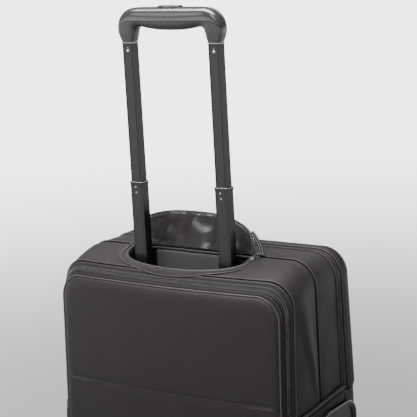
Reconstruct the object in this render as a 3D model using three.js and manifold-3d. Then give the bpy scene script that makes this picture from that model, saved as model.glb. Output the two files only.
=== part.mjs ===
// Rolling laptop case: a soft-sided nylon case on two wheels, with a two-stage telescopic handle
// that stows in a well under a zipped half-moon flap.
// Millimetres, +Z up, -Y is the front, the floor is Z = 0.
import * as THREE from 'three';
import { mergeVertices } from 'three/addons/utils/BufferGeometryUtils.js';
import Module from 'manifold-3d';

const wasm = await Module();
wasm.setup();

// ---------------------------------------------------------------- driving dimensions

const GAP = 0.3; // clearance between touching pieces
const WALL = 3; // board and nylon wall of the case
const CURVE_STEPS = 5; // facets in a quarter round

// Case body. Depth stations are given at the height LEAN_Z, before lean and bow.
const CASE_HALF_WIDTH = 215;
const CASE_BOTTOM = 34;
const CASE_TOP = 362;
const CASE_CORNER = 40;
const LEAN_Z = 305;
const FRONT_FACE_Y = -93;
const FRONT_PIPING_Y = -87;
const FRONT_ZIP_Y = -76;
const FRONT_SHOULDER_Y = -65;
const REAR_ZIP_Y = 68;
const REAR_SHOULDER_Y = 90;
const REAR_FACE_Y = 104.4;
const PIPING_INSET = 12; // how much narrower each side is at the front piping
const PIPING_DROP = 20; // how much lower the top is there
const FACE_ROLL = 14; // rounding of the front and rear faces into their edges
const FRONT_LEAN = 0.0445; // slope of the front wall
const REAR_LEAN = 0.055; // slope of the rear wall
const FRONT_BOW = 13; // how far the middle of the front stands ahead of its sides
const SHOULDER_DROP = 16; // fall of the top from the well to the front shoulder

// Inner walls, doors and the lower rear
const FRONT_WALL_Y = [-62, -59.5];
const MIDDLE_WALL_Y = [-9.5, -7];
const SILL_TOP = 55.4;
const FRONT_DOOR_BOTTOM = 56;
const REAR_DOOR_BOTTOM = 138;
const DOOR_GAP = 0.35; // half of the zip line between a door and the case
const BOOT_HEM = { front: 135, rear: 147 }; // top edge of the side boots
const BOOT_THICKNESS = 6;
const DECK_Z = 300; // the top is a frame of its own above this height

// Handle well, cut in the top
const WELL_HALF_WIDTH = 112;
const WELL_REAR_Y = -13;
const WELL_SIDE_Y = -28; // where the straight ends turn into the curved front
const WELL_FRONT_Y = -72;
const FLAP_LENGTH = 62;
const FLAP_LEAN = 28.6; // degrees back from upright
const FLAP_HINGE = { y: -12, z: 365.4 };

// Telescopic handle
const HANDLE_Y = -32;
const TUBE_X = 80;
const TUBE_WALL = 1.2;
const UPPER_TUBE = { width: 20, depth: 14, bottom: 436, top: 692.4, corner: 3 };
const MIDDLE_TUBE = { width: 23, depth: 17, bottom: 216, top: 469.7, corner: 3.5 };
const OUTER_TUBE = { width: 26, depth: 20, bottom: 37.3, top: 284, corner: 4 };
const COLLAR_TOP = 475;
const FLANGE_Z = [692.7, 694.2];
const GRIP_BOTTOM = 694.5;
const GRIP_TOP = 743;
const GRIP_DEPTH = 27;
const GRIP_HALF_WIDTH = 97;
const PARTING_Z = 727;
const BUTTON = { length: 44, width: 15, bottom: 738, top: 744.6 };
const BAR_Z = [723.3, 726.7];
const ROD_RADIUS = 2;
const PIN_RADIUS = 3;
const PIN_Z = 441.5;

// Running gear
const WHEEL = { x: 205, y: 70, radius: 37, width: 24, axle: 4 };
const HOUSING = { inner: 186, outer: 224, front: -14, rear: 94, bottom: 20, top: 125, corner: 28 };
const CHEEK = 4;
const FOOT = { x: 150, y: -72, radius: 14 };
const CHASSIS_Z = [22, 33.7];

// ---------------------------------------------------------------- materials

function finish(color, roughness, metalness = 0) {
  return new THREE.MeshStandardMaterial({ color, roughness, metalness });
}

const FINISH = {
  nylon: finish(0x2b2a2c, 0.62),
  lining: finish(0x4c4d52, 0.5),
  boot: finish(0x232325, 0.55),
  plastic: finish(0x1b1b1d, 0.4),
  grip: finish(0x2c2d31, 0.28),
  tube: finish(0x3a3b3f, 0.32, 0.8),
  bright: finish(0xc4c6ca, 0.2, 1),
  steel: finish(0x8f9296, 0.35, 1),
  rubber: finish(0x161617, 0.75),
  hub: finish(0x55575c, 0.45),
};

// ---------------------------------------------------------------- small tools

const radians = THREE.MathUtils.degToRad;

/** 0 before `from`, 1 past `to`, straight in between, whichever way they run. */
function ramp(value, from, to) {
  return THREE.MathUtils.clamp((value - from) / (to - from), 0, 1);
}

function asSolid(geometry) {
  const bare = geometry.index ? geometry.clone() : geometry;
  bare.deleteAttribute('normal');
  bare.deleteAttribute('uv');
  const merged = mergeVertices(bare, 1e-4);
  return new wasm.Manifold(new wasm.Mesh({
    numProp: 3,
    vertProperties: new Float32Array(merged.attributes.position.array),
    triVerts: new Uint32Array(merged.index.array),
  }));
}

function asGeometry(solid) {
  const mesh = solid.getMesh();
  const geometry = new THREE.BufferGeometry();
  geometry.setAttribute('position', new THREE.BufferAttribute(mesh.vertProperties, 3));
  geometry.setIndex(new THREE.BufferAttribute(mesh.triVerts, 1));
  geometry.computeVertexNormals();
  return geometry;
}

function cut(blank, ...tools) {
  return asGeometry(tools.reduce((solid, tool) => solid.subtract(asSolid(tool)), asSolid(blank)));
}

function join(...pieces) {
  const [first, ...others] = pieces.map(asSolid);
  return asGeometry(others.reduce((solid, other) => solid.add(other), first));
}

function common(a, b) {
  return asGeometry(asSolid(a).intersect(asSolid(b)));
}

/** Moves every vertex of a geometry by a function of its place. */
function reshape(geometry, place) {
  const position = geometry.attributes.position;
  for (let i = 0; i < position.count; i++) {
    position.setXYZ(i, ...place(position.getX(i), position.getY(i), position.getZ(i)));
  }
  return geometry;
}

function block(x, y, z) {
  const [width, depth, height] = [x, y, z].map(([low, high]) => high - low);
  const centre = [x, y, z].map(([low, high]) => (low + high) / 2);
  return new THREE.BoxGeometry(width, depth, height).translate(...centre);
}

/** An outline with round corners, its flat edges divided so that they can be bent. */
function roundedOutline(halfWidth, low, high, topCorner, lowCorner, divisions = 1) {
  const shape = new THREE.Shape();
  const edge = (x0, x1, v) => {
    for (let i = 1; i < divisions; i++) shape.lineTo(x0 + ((x1 - x0) * i) / divisions, v);
  };
  const corner = (cx, cy, radius, from) => {
    for (let i = 0; i <= CURVE_STEPS; i++) {
      const angle = radians(from + (90 * i) / CURVE_STEPS);
      shape.lineTo(cx + radius * Math.cos(angle), cy + radius * Math.sin(angle));
    }
  };
  shape.moveTo(-halfWidth + lowCorner, low);
  edge(-halfWidth + lowCorner, halfWidth - lowCorner, low);
  corner(halfWidth - lowCorner, low + lowCorner, lowCorner, -90);
  corner(halfWidth - topCorner, high - topCorner, topCorner, 0);
  edge(halfWidth - topCorner, -halfWidth + topCorner, high);
  corner(-halfWidth + topCorner, high - topCorner, topCorner, 90);
  corner(-halfWidth + lowCorner, low + lowCorner, lowCorner, 180);
  return shape;
}

/** A rectangle with round corners about the origin. */
function roundedRectangle(width, depth, radius) {
  const shape = roundedOutline(width / 2, -depth / 2, depth / 2, radius, radius);
  return shape;
}

function extrudeZ(shape, low, high) {
  const settings = { depth: high - low, bevelEnabled: false, curveSegments: CURVE_STEPS * 2 };
  return new THREE.ExtrudeGeometry(shape, settings).translate(0, 0, low);
}

/** Extrudes a (y, z) outline along X. */
function extrudeX(shape, low, high, steps = 1) {
  const settings = { depth: high - low, steps, bevelEnabled: false, curveSegments: CURVE_STEPS };
  const axes = new THREE.Matrix4().makeBasis(
    new THREE.Vector3(0, 1, 0), new THREE.Vector3(0, 0, 1), new THREE.Vector3(1, 0, 0));
  return new THREE.ExtrudeGeometry(shape, settings).applyMatrix4(axes).translate(low, 0, 0);
}

/** Extrudes an (x, z) outline along Y. */
function extrudeY(shape, low, high, settings = {}) {
  const all = { depth: high - low, bevelEnabled: false, curveSegments: CURVE_STEPS, ...settings };
  return new THREE.ExtrudeGeometry(shape, all).rotateX(Math.PI / 2).translate(0, high, 0);
}

function cylinderAlong(axis, radius, length, segments = 16) {
  const geometry = new THREE.CylinderGeometry(radius, radius, length, segments);
  if (axis === 'x') return geometry.rotateZ(Math.PI / 2);
  return axis === 'z' ? geometry.rotateX(Math.PI / 2) : geometry;
}

const part = new THREE.Group();

function add(name, geometry, material, at = [0, 0, 0], turn = [0, 0, 0], into = part) {
  const mesh = new THREE.Mesh(geometry, material);
  mesh.name = name;
  mesh.position.set(...at);
  mesh.rotation.set(...turn);
  into.add(mesh);
  return mesh;
}

const SIDES = [['left', -1], ['right', 1]];

// ---------------------------------------------------------------- form of the soft case

/** Lean of the walls and bow of the front, for a point drawn with straight walls. */
function packedForm(x, y, z) {
  const front = ramp(y, HANDLE_Y, FRONT_SHOULDER_Y);
  const rear = ramp(y, 0, REAR_FACE_Y);
  const bow = FRONT_BOW * front * (1 - (x / CASE_HALF_WIDTH) ** 2);
  return [x, y - bow + (LEAN_Z - z) * (REAR_LEAN * rear - FRONT_LEAN * front), z];
}

/** Side and top inset of the case's outline at each depth station. */
const CASE_STATIONS = [
  [-150, PIPING_INSET + FACE_ROLL, PIPING_DROP + FACE_ROLL],
  [FRONT_FACE_Y, PIPING_INSET + FACE_ROLL, PIPING_DROP + FACE_ROLL],
  [FRONT_FACE_Y + 2, PIPING_INSET + 5, PIPING_DROP + 5],
  [FRONT_PIPING_Y, PIPING_INSET, PIPING_DROP],
  [FRONT_SHOULDER_Y, 0, 0],
  [WELL_REAR_Y, 0, 0],
  [REAR_SHOULDER_Y, 0, 0],
  [REAR_SHOULDER_Y + 8, 2, 2],
  [REAR_FACE_Y - 2, 6, 6],
  [REAR_FACE_Y, FACE_ROLL, FACE_ROLL],
  [150, FACE_ROLL, FACE_ROLL],
];

/** The case's outline run from front to back, `offset` inside its outer skin. */
function casePrism(offset) {
  const halfWidth = CASE_HALF_WIDTH - offset;
  const outline = roundedOutline(halfWidth, CASE_BOTTOM + offset, CASE_TOP - offset,
    CASE_CORNER - offset, 24 - offset, 10);
  const last = CASE_STATIONS.length - 1;
  const straight = extrudeY(outline, 0, last, { steps: last });
  return reshape(straight, (x, index, z) => {
    const [y, side, top] = CASE_STATIONS[Math.round(index)];
    const drop = top + SHOULDER_DROP * ramp(y, WELL_REAR_Y, FRONT_SHOULDER_Y);
    const height = (z - CASE_BOTTOM) / (CASE_TOP - CASE_BOTTOM);
    return packedForm(x * (1 - side / CASE_HALF_WIDTH), y, z - drop * height);
  });
}

/** A slab across the case between two depths and two heights, bent to the packed form. */
function caseSlab([front, rear], [low, high], halfWidth = 240) {
  const profile = new THREE.Shape();
  profile.moveTo(front, low).lineTo(rear, low).lineTo(rear, high).lineTo(front, high);
  return reshape(extrudeX(profile, -halfWidth, halfWidth, 16), packedForm);
}

const FULL_HEIGHT = [0, 420];
const OUTER_SKIN = casePrism(0);
const INNER_SKIN = casePrism(WALL);
const INSIDE = casePrism(WALL + GAP);

function housingOutline(grow) {
  const { front, rear, bottom, top, corner } = HOUSING;
  const shape = new THREE.Shape();
  const [low, high, near, far] = [bottom - grow, top + grow, front - grow, rear + grow];
  const radius = corner + grow;
  shape.moveTo(near, low).lineTo(far - 18, low).lineTo(far, low + 16).lineTo(far, high - radius);
  shape.absarc(far - radius, high - radius, radius, 0, Math.PI / 2, false);
  shape.lineTo(near + radius, high);
  shape.absarc(near + radius, high - radius, radius, Math.PI / 2, Math.PI, false);
  return shape;
}

/** Room for the two wheel housings. */
function housingRoom() {
  const outline = housingOutline(GAP);
  return SIDES.map(([, side]) => {
    const [near, far] = [HOUSING.inner - GAP, HOUSING.outer + 20];
    return side < 0 ? extrudeX(outline, -far, -near) : extrudeX(outline, near, far);
  });
}

/** Room for the part of each wheel that stands out behind its housing. */
function wheelRoom() {
  const length = HOUSING.outer - HOUSING.inner + 20;
  return SIDES.map(([, side]) => cylinderAlong('x', WHEEL.radius + 5, length, 32)
    .translate(side * (HOUSING.inner - GAP + length / 2), WHEEL.y, WHEEL.radius));
}

/** Half-moon outline of the handle well: straight at the back, curved at the front. */
function wellOutline(grow = 0) {
  const shape = new THREE.Shape();
  shape.moveTo(WELL_HALF_WIDTH + grow, WELL_REAR_Y);
  shape.lineTo(-WELL_HALF_WIDTH - grow, WELL_REAR_Y).lineTo(-WELL_HALF_WIDTH - grow, WELL_SIDE_Y);
  const depth = WELL_SIDE_Y - WELL_FRONT_Y;
  shape.absellipse(0, WELL_SIDE_Y, WELL_HALF_WIDTH + grow, depth + grow, Math.PI, 2 * Math.PI, false);
  return shape;
}

/** Everything between two heights. */
function slabBetween(low, high) {
  return block([-300, 300], [-300, 300], [low, high]);
}

function addCase() {
  const shellRange = caseSlab([FRONT_ZIP_Y + DOOR_GAP, REAR_ZIP_Y - DOOR_GAP], FULL_HEIGHT);
  const ring = cut(common(OUTER_SKIN, shellRange), INNER_SKIN);
  const wellMouth = extrudeZ(wellOutline(), 300, 400);
  add('case_shell', cut(ring, slabBetween(DECK_Z, 420), ...housingRoom()), FINISH.nylon);
  add('case_top', cut(common(ring, slabBetween(DECK_Z + GAP, 420)), wellMouth), FINISH.nylon);

  const frontWall = common(INSIDE, caseSlab(FRONT_WALL_Y, FULL_HEIGHT));
  add('front_divider', frontWall, FINISH.lining);
  const middleWall = common(INSIDE, caseSlab(MIDDLE_WALL_Y, FULL_HEIGHT));
  add('middle_divider', cut(middleWall, ...housingRoom()), FINISH.lining);
}

function addDoors() {
  const frontRange = caseSlab([FRONT_FACE_Y, FRONT_ZIP_Y - DOOR_GAP], [FRONT_DOOR_BOTTOM, 420]);
  const frontHollow = common(INNER_SKIN,
    caseSlab([FRONT_FACE_Y + WALL, FRONT_ZIP_Y + 10], [FRONT_DOOR_BOTTOM + WALL, 420]));
  add('front_door', cut(common(OUTER_SKIN, frontRange), frontHollow), FINISH.nylon);

  const rearRange = caseSlab([REAR_ZIP_Y + DOOR_GAP, REAR_FACE_Y], [REAR_DOOR_BOTTOM, 420]);
  const rearHollow = common(INNER_SKIN,
    caseSlab([REAR_ZIP_Y - 10, REAR_FACE_Y - WALL], [REAR_DOOR_BOTTOM + WALL, 420]));
  add('rear_door', cut(common(OUTER_SKIN, rearRange), rearHollow), FINISH.nylon);
}

/** The corner that is cut off the lower rear edge, so that the case can tilt on its wheels. */
function tiltChamfer(inward) {
  return new THREE.BoxGeometry(600, 60, 60).rotateX(radians(45)).translate(0, 130 - inward, 25 + inward);
}

/** The fixed lower rear, open to the main compartment and shaped round the wheel housings. */
function addRearBoot() {
  const top = REAR_DOOR_BOTTOM - 2 * DOOR_GAP;
  const range = caseSlab([REAR_ZIP_Y + DOOR_GAP, REAR_FACE_Y], [0, top]);
  const hollow = common(INNER_SKIN, caseSlab([REAR_ZIP_Y - 10, REAR_FACE_Y - WALL], [0, top - WALL]));
  const shell = cut(common(OUTER_SKIN, range), cut(hollow, tiltChamfer(WALL)), tiltChamfer(0));
  add('rear_boot', cut(shell, ...housingRoom(), ...wheelRoom()), FINISH.boot);
}

/** Bound side boots: flat panels over the lower sides of the case. */
function addSideBoots() {
  const outline = new THREE.Shape();
  outline.moveTo(FRONT_SHOULDER_Y + 2, 58).lineTo(FRONT_SHOULDER_Y + 22, 34).lineTo(66, 34);
  outline.lineTo(66, BOOT_HEM.rear).lineTo(FRONT_SHOULDER_Y + 2, BOOT_HEM.front);
  const near = CASE_HALF_WIDTH + GAP;
  for (const [name, side] of SIDES) {
    const ends = side < 0 ? [-near - BOOT_THICKNESS, -near] : [near, near + BOOT_THICKNESS];
    add(`side_boot_${name}`, cut(extrudeX(outline, ...ends), ...housingRoom()), FINISH.boot);
  }
}

function addChassis() {
  const plate = new THREE.Shape();
  plate.moveTo(-196, -96).lineTo(-182, -108).lineTo(182, -108).lineTo(196, -96).lineTo(204, 66);
  plate.lineTo(-204, 66);
  const sill = common(OUTER_SKIN, caseSlab([FRONT_FACE_Y, FRONT_ZIP_Y - DOOR_GAP], [30, SILL_TOP]));
  const riser = block([-180, 180], [-104.5, -101.5], [CHASSIS_Z[0] + 4, CASE_BOTTOM + 8]);
  const chassis = cut(join(extrudeZ(plate, ...CHASSIS_Z), riser, sill), ...housingRoom());
  add('base_chassis', chassis, FINISH.plastic);
  for (const [name, side] of SIDES) {
    const foot = new THREE.CylinderGeometry(FOOT.radius, FOOT.radius - 3, CHASSIS_Z[0] - GAP, 20);
    foot.rotateX(Math.PI / 2).translate(0, 0, (CHASSIS_Z[0] - GAP) / 2);
    add(`front_foot_${name}`, foot, FINISH.rubber, [side * FOOT.x, FOOT.y, 0]);
  }
}

function addPockets() {
  const [, rearOfWall] = MIDDLE_WALL_Y;
  const near = rearOfWall + GAP;
  const pocket = cut(
    block([-185, 185], [near, near + 30], [56, 320]),
    block([-181, 181], [near + 5, near + 27], [61, 340]),
    block([-181, 181], [near + 20, near + 40], [240, 340]));
  add('laptop_pocket', pocket, FINISH.lining);

  const [front] = FRONT_WALL_Y;
  add('organiser_pocket', caseSlab([front - GAP - 2.4, front - GAP], [60, 200], 168), FINISH.lining);
}

// ---------------------------------------------------------------- running gear

function lathedAboutX(points, segments) {
  const profile = points.map(([radius, along]) => new THREE.Vector2(radius, along));
  return new THREE.LatheGeometry(profile, segments).rotateZ(-Math.PI / 2);
}

function tyreGeometry() {
  const { radius, width } = WHEEL;
  const half = width / 2;
  const points = [[26.5, -half + 3], [31, -half], [radius - 3, -half + 1.5], [radius, -half + 6],
    [radius, half - 6], [radius - 3, half - 1.5], [31, half], [26.5, half - 3]];
  return lathedAboutX([...points, points[0]], 28);
}

function hubGeometry() {
  const half = WHEEL.width / 2;
  const bore = WHEEL.axle + GAP;
  const points = [[bore, -half + 1], [10, -half + 1], [12, -half + 6], [22, -half + 6], [26.2, -half + 3.4],
    [26.2, half - 3.4], [22, half - 6], [12, half - 6], [10, half - 1], [bore, half - 1]];
  return lathedAboutX([...points, points[0]], 28);
}

function housingGeometry() {
  const { inner, outer } = HOUSING;
  const body = extrudeX(housingOutline(0), inner, outer);
  const well = cylinderAlong('x', WHEEL.radius + 5, outer - inner - 2 * CHEEK, 32)
    .translate((inner + outer) / 2, WHEEL.y, WHEEL.radius);
  const wellRear = block([inner + CHEEK, outer - CHEEK], [WHEEL.y, WHEEL.y + 60], [0, WHEEL.radius + 20]);
  const wellLow = block([inner + CHEEK, outer - CHEEK], [WHEEL.y - 42, WHEEL.y + 42], [0, WHEEL.radius]);
  const axleHole = cylinderAlong('x', WHEEL.axle + GAP, 100).translate(outer, WHEEL.y, WHEEL.radius);
  const recess = extrudeX(housingOutline(-9), outer - 2, outer + 5);
  return cut(body, well, wellRear, wellLow, axleHole, recess);
}

function axleGeometry() {
  const head = cylinderAlong('x', 7, 2.4, 18).translate(HOUSING.outer + GAP + 1.2, 0, 0);
  const length = HOUSING.outer - HOUSING.inner;
  const pin = cylinderAlong('x', WHEEL.axle, length, 18).translate(HOUSING.outer + 1 - length / 2, 0, 0);
  return join(head, pin);
}

function addRunningGear() {
  for (const [name, side] of SIDES) {
    const gear = new THREE.Group();
    if (side < 0) gear.rotation.z = Math.PI;
    const y = side * WHEEL.y;
    const hub = [WHEEL.x, y, WHEEL.radius];
    part.add(gear);
    // The left housing is mirrored front to back before its group is turned about.
    const housing = housingGeometry();
    add(`wheel_housing_${name}`, side < 0 ? mirroredY(housing) : housing, FINISH.plastic,
      [0, 0, 0], [0, 0, 0], gear);
    add(`tyre_${name}`, tyreGeometry(), FINISH.rubber, hub, [0, 0, 0], gear);
    add(`wheel_hub_${name}`, hubGeometry(), FINISH.hub, hub, [0, 0, 0], gear);
    add(`axle_${name}`, axleGeometry(), FINISH.steel, [0, y, WHEEL.radius], [0, 0, 0], gear);
  }
}

/** Mirrors a geometry in Y and turns its triangles over, so its faces still point out. */
function mirroredY(geometry) {
  reshape(geometry, (x, y, z) => [x, -y, z]);
  const index = geometry.index;
  for (let i = 0; i < index.count; i += 3) {
    const first = index.getX(i);
    index.setX(i, index.getX(i + 1));
    index.setX(i + 1, first);
  }
  return geometry;
}

// ---------------------------------------------------------------- telescopic handle

function tubeGeometry({ width, depth, bottom, top, corner }, wall = TUBE_WALL) {
  const section = roundedRectangle(width, depth, corner);
  const bore = roundedRectangle(width - 2 * wall, depth - 2 * wall, corner - wall);
  section.holes.push(new THREE.Path(bore.getPoints()));
  return extrudeZ(section, bottom, top);
}

function ringPlate(outer, inner, low, high) {
  const section = roundedRectangle(...outer);
  section.holes.push(new THREE.Path(roundedRectangle(...inner).getPoints()));
  return extrudeZ(section, low, high);
}

/** A cross bar that holds both outer tubes. */
function tubeBracket(halfWidth, y, z) {
  const holes = SIDES.map(([, side]) => {
    const hole = roundedRectangle(OUTER_TUBE.width + 2 * GAP, OUTER_TUBE.depth + 2 * GAP, 4);
    return extrudeZ(hole, z[0] - 5, z[1] + 5).translate(side * TUBE_X, HANDLE_Y, 0);
  });
  return cut(block([-halfWidth, halfWidth], y, z), ...holes);
}

function addFixedTubes() {
  add('tube_base_bracket', tubeBracket(104, [HANDLE_Y - 15, HANDLE_Y + 15], [38, 52]), FINISH.plastic);
  add('well_floor', tubeBracket(112, [-57, MIDDLE_WALL_Y[0] - GAP], [270, 276]), FINISH.plastic);
  for (const [name, side] of SIDES) {
    const at = [side * TUBE_X, HANDLE_Y, 0];
    add(`outer_tube_${name}`, tubeGeometry(OUTER_TUBE), FINISH.tube, at);
    const bush = ringPlate([31, 25, 5], [MIDDLE_TUBE.width + 2 * GAP, MIDDLE_TUBE.depth + 2 * GAP, 3.8],
      OUTER_TUBE.top + GAP, OUTER_TUBE.top + 6);
    add(`guide_bush_${name}`, bush, FINISH.plastic, at);
  }
  const pad = roundedRectangle(144, 7.4, 3.6);
  add('well_pad', extrudeZ(pad, 326, CASE_TOP - WALL - 0.5), FINISH.lining, [0, MIDDLE_WALL_Y[0] - GAP - 3.7, 0]);
}

function addMiddleStage() {
  for (const [name, side] of SIDES) {
    const at = [side * TUBE_X, HANDLE_Y, 0];
    add(`middle_tube_${name}`, tubeGeometry(MIDDLE_TUBE), FINISH.tube, at);
    const collar = ringPlate([24.4, 18.4, 3.8], [UPPER_TUBE.width + 2 * GAP, UPPER_TUBE.depth + 2 * GAP, 3.2],
      MIDDLE_TUBE.top + GAP, COLLAR_TOP);
    add(`stage_collar_${name}`, collar, FINISH.bright, at);
  }
}

/** The grip's outline from the front: two necks, rounded elbows and a palm swell underneath. */
function gripOutline() {
  const shape = new THREE.Shape();
  const [neckOut, neckIn] = [TUBE_X + 10.8, TUBE_X - 10.8];
  const elbow = 30;
  const under = GRIP_TOP - 26;
  shape.moveTo(neckOut, GRIP_BOTTOM);
  shape.lineTo(GRIP_HALF_WIDTH, GRIP_BOTTOM + 20);
  shape.absarc(GRIP_HALF_WIDTH - elbow, GRIP_TOP - elbow, elbow, 0.05, Math.PI / 2, false);
  shape.absarc(-GRIP_HALF_WIDTH + elbow, GRIP_TOP - elbow, elbow, Math.PI / 2, Math.PI - 0.05, false);
  shape.lineTo(-GRIP_HALF_WIDTH, GRIP_BOTTOM + 20);
  shape.lineTo(-neckOut, GRIP_BOTTOM).lineTo(-neckIn, GRIP_BOTTOM);
  shape.lineTo(-60, under - 3).lineTo(-50, under);
  shape.quadraticCurveTo(0, under - 10, 50, under);
  shape.lineTo(60, under - 3).lineTo(neckIn, GRIP_BOTTOM);
  return shape;
}

/** Everything above the parting line, `lower` beneath it. */
function abovePartingLine(lower) {
  const shape = new THREE.Shape();
  const end = PARTING_Z - 9 - lower;
  shape.moveTo(-120, end).lineTo(-GRIP_HALF_WIDTH, end).lineTo(-78, PARTING_Z - lower);
  shape.lineTo(78, PARTING_Z - lower).lineTo(GRIP_HALF_WIDTH, end).lineTo(120, end);
  shape.lineTo(120, 780).lineTo(-120, 780);
  return extrudeY(shape, -40, 40);
}

function addGrip() {
  const roll = 8;
  const settings = { bevelEnabled: true, bevelThickness: 10, bevelSize: roll, bevelOffset: -roll,
    bevelSegments: 3, depth: GRIP_DEPTH - 20 };
  const half = GRIP_DEPTH / 2 - 10;
  const grip = extrudeY(gripOutline(), -half, half, settings);
  const channel = block([-84, 84], [-5, 5], [719, PARTING_Z + 5]);
  const springPocket = block([-5, 5], [-5, 5], [714.5, 720]);
  const rodHoles = SIDES.map(([, side]) =>
    cylinderAlong('z', ROD_RADIUS + 1, 60).translate(side * TUBE_X, 0, 712));
  const buttonHole = extrudeZ(roundedRectangle(BUTTON.length + 0.8, BUTTON.width + 0.8, 7.8), 733, 760);
  const stemHole = block([-6.5, 6.5], [-5, 5], [PARTING_Z - 5, 740]);
  const at = [0, HANDLE_Y, 0];
  const lower = cut(grip, abovePartingLine(GAP), channel, springPocket, ...rodHoles);
  add('grip_lower_shell', lower, FINISH.grip, at);
  const upper = cut(common(grip, abovePartingLine(0)), buttonHole, stemHole,
    block([-84, 84], [-5, 5], [700, PARTING_Z + 1.5]));
  add('grip_upper_shell', upper, FINISH.grip, at);
}

function springCurve(radius, bottom, top, turns) {
  const points = [];
  const stepsPerTurn = 10;
  for (let i = 0; i <= turns * stepsPerTurn; i++) {
    const angle = (2 * Math.PI * i) / stepsPerTurn;
    const height = bottom + ((top - bottom) * i) / (turns * stepsPerTurn);
    points.push(new THREE.Vector3(radius * Math.cos(angle), radius * Math.sin(angle), height));
  }
  return new THREE.CatmullRomCurve3(points);
}

function addButton() {
  const at = [0, HANDLE_Y, 0];
  const oval = roundedRectangle(BUTTON.length, BUTTON.width, 7.4);
  const dome = extrudeZ(oval, BUTTON.bottom, BUTTON.top);
  const stem = block([-5.5, 5.5], [-4, 4], [BAR_Z[1] + GAP, BUTTON.bottom + 1]);
  add('grip_button', join(dome, stem), FINISH.grip, at);
  add('actuator_bar', block([-83, 83], [-4, 4], BAR_Z), FINISH.plastic, at);
  const wire = new THREE.Shape().absarc(0, 0, 0.45, 0, 2 * Math.PI, false);
  const spring = new THREE.ExtrudeGeometry(wire, {
    extrudePath: springCurve(3.2, 715.4, 722.4, 4), steps: 48, curveSegments: 5, bevelEnabled: false });
  add('button_spring', spring, FINISH.steel, at);
  const rodBottom = PIN_Z + 10.5;
  for (const [name, side] of SIDES) {
    const length = BAR_Z[0] - GAP - rodBottom;
    const rod = cylinderAlong('z', ROD_RADIUS, length, 10).translate(0, 0, rodBottom + length / 2);
    add(`push_rod_${name}`, rod, FINISH.steel, [side * TUBE_X, HANDLE_Y, 0]);
  }
}

function addUpperStage() {
  const { width, depth } = UPPER_TUBE;
  for (const [name, side] of SIDES) {
    const at = [side * TUBE_X, HANDLE_Y, 0];
    const pinHole = cylinderAlong('x', PIN_RADIUS + GAP, 20).translate(side * 10, 0, PIN_Z);
    const rivetHole = cylinderAlong('y', 1.8 + GAP, 10, 12).translate(0, -depth / 2, 681);
    add(`upper_tube_${name}`, cut(tubeGeometry(UPPER_TUBE), pinHole, rivetHole), FINISH.tube, at);

    const plugBlank = extrudeZ(roundedRectangle(width - 2 * TUBE_WALL - 2 * GAP, depth - 2 * TUBE_WALL - 2 * GAP, 1.4),
      UPPER_TUBE.bottom + 0.5, PIN_Z + 5.5);
    const plugBore = cylinderAlong('x', PIN_RADIUS + GAP, 20).translate(side * 5.8, 0, PIN_Z);
    add(`tube_plug_${name}`, cut(plugBlank, plugBore), FINISH.plastic, at);
    const pin = cylinderAlong('x', PIN_RADIUS, 10.4, 14).translate(side * 4.5, 0, PIN_Z);
    add(`lock_pin_${name}`, pin, FINISH.steel, at);

    const flange = cut(extrudeZ(roundedRectangle(21.7, 17.3, 3), ...FLANGE_Z),
      cylinderAlong('z', ROD_RADIUS + 1, 10).translate(0, 0, FLANGE_Z[0]));
    add(`grip_flange_${name}`, flange, FINISH.bright, at);

    const head = cylinderAlong('y', 2.8, 1.2, 14).translate(0, -depth / 2 - 0.6 - GAP, 681);
    const shank = cylinderAlong('y', 1.8, 3.6, 12).translate(0, -depth / 2 + 0.6, 681);
    add(`tube_rivet_${name}`, join(head, shank), FINISH.bright, at);
  }
}

// ---------------------------------------------------------------- flap and zips

function addFlap() {
  const shape = new THREE.Shape();
  const straight = 12;
  shape.moveTo(-WELL_HALF_WIDTH, 3).lineTo(WELL_HALF_WIDTH, 3).lineTo(WELL_HALF_WIDTH, straight);
  shape.absellipse(0, straight, WELL_HALF_WIDTH, FLAP_LENGTH - straight, 0, Math.PI, false);
  const flap = extrudeZ(shape, -1.4, 1.4);
  const turn = [radians(90 - FLAP_LEAN), 0, 0];
  add('handle_flap', flap, FINISH.nylon, [0, FLAP_HINGE.y, FLAP_HINGE.z], turn);
}

/** Zip slider of a vertical zip on the left side, with its pull hanging from it. */
function addSideZip(name, x, y, z, lean) {
  const zip = new THREE.Group();
  zip.position.set(x, y, z);
  zip.rotation.x = lean;
  part.add(zip);
  add(`${name}_slider`, block([-2.2, 2.2], [-4, 4], [-8, 8]), FINISH.steel, [0, 0, 0], [0, 0, 0], zip);
  const pull = extrudeX(roundedRectangle(5, 30, 2.4), -4.6, -2.6).translate(0, 0, -11);
  add(`${name}_pull`, pull, FINISH.steel, [0, 0, 0], [0, 0, 0], zip);
}

function addZips() {
  const frontZ = 104;
  const frontY = FRONT_ZIP_Y - FRONT_LEAN * (LEAN_Z - frontZ) + 0.6;
  addSideZip('front_zip', -(CASE_HALF_WIDTH - 0.6), frontY, frontZ, -Math.atan(FRONT_LEAN));
  const rearLean = REAR_LEAN * ramp(REAR_ZIP_Y, 0, REAR_FACE_Y);
  const rearZ = 186;
  const rearY = REAR_ZIP_Y + rearLean * (LEAN_Z - rearZ) - 2;
  addSideZip('rear_zip', -(CASE_HALF_WIDTH + 2.6), rearY, rearZ, Math.atan(rearLean));

  const flapZip = [WELL_HALF_WIDTH + 7, WELL_REAR_Y - 4, CASE_TOP + 2.6];
  add('flap_zip_slider', block([-4, 4], [-7, 7], [-2.2, 2.2]), FINISH.bright, flapZip);
  const pull = extrudeZ(roundedRectangle(5, 26, 2.4), 2.6, 4.4).translate(0, 9, 0);
  add('flap_zip_pull', pull, FINISH.bright, flapZip);
}

addCase();
addDoors();
addRearBoot();
addSideBoots();
addChassis();
addPockets();
addRunningGear();
addFixedTubes();
addMiddleStage();
addGrip();
addButton();
addUpperStage();
addFlap();
addZips();

export default part;
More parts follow.
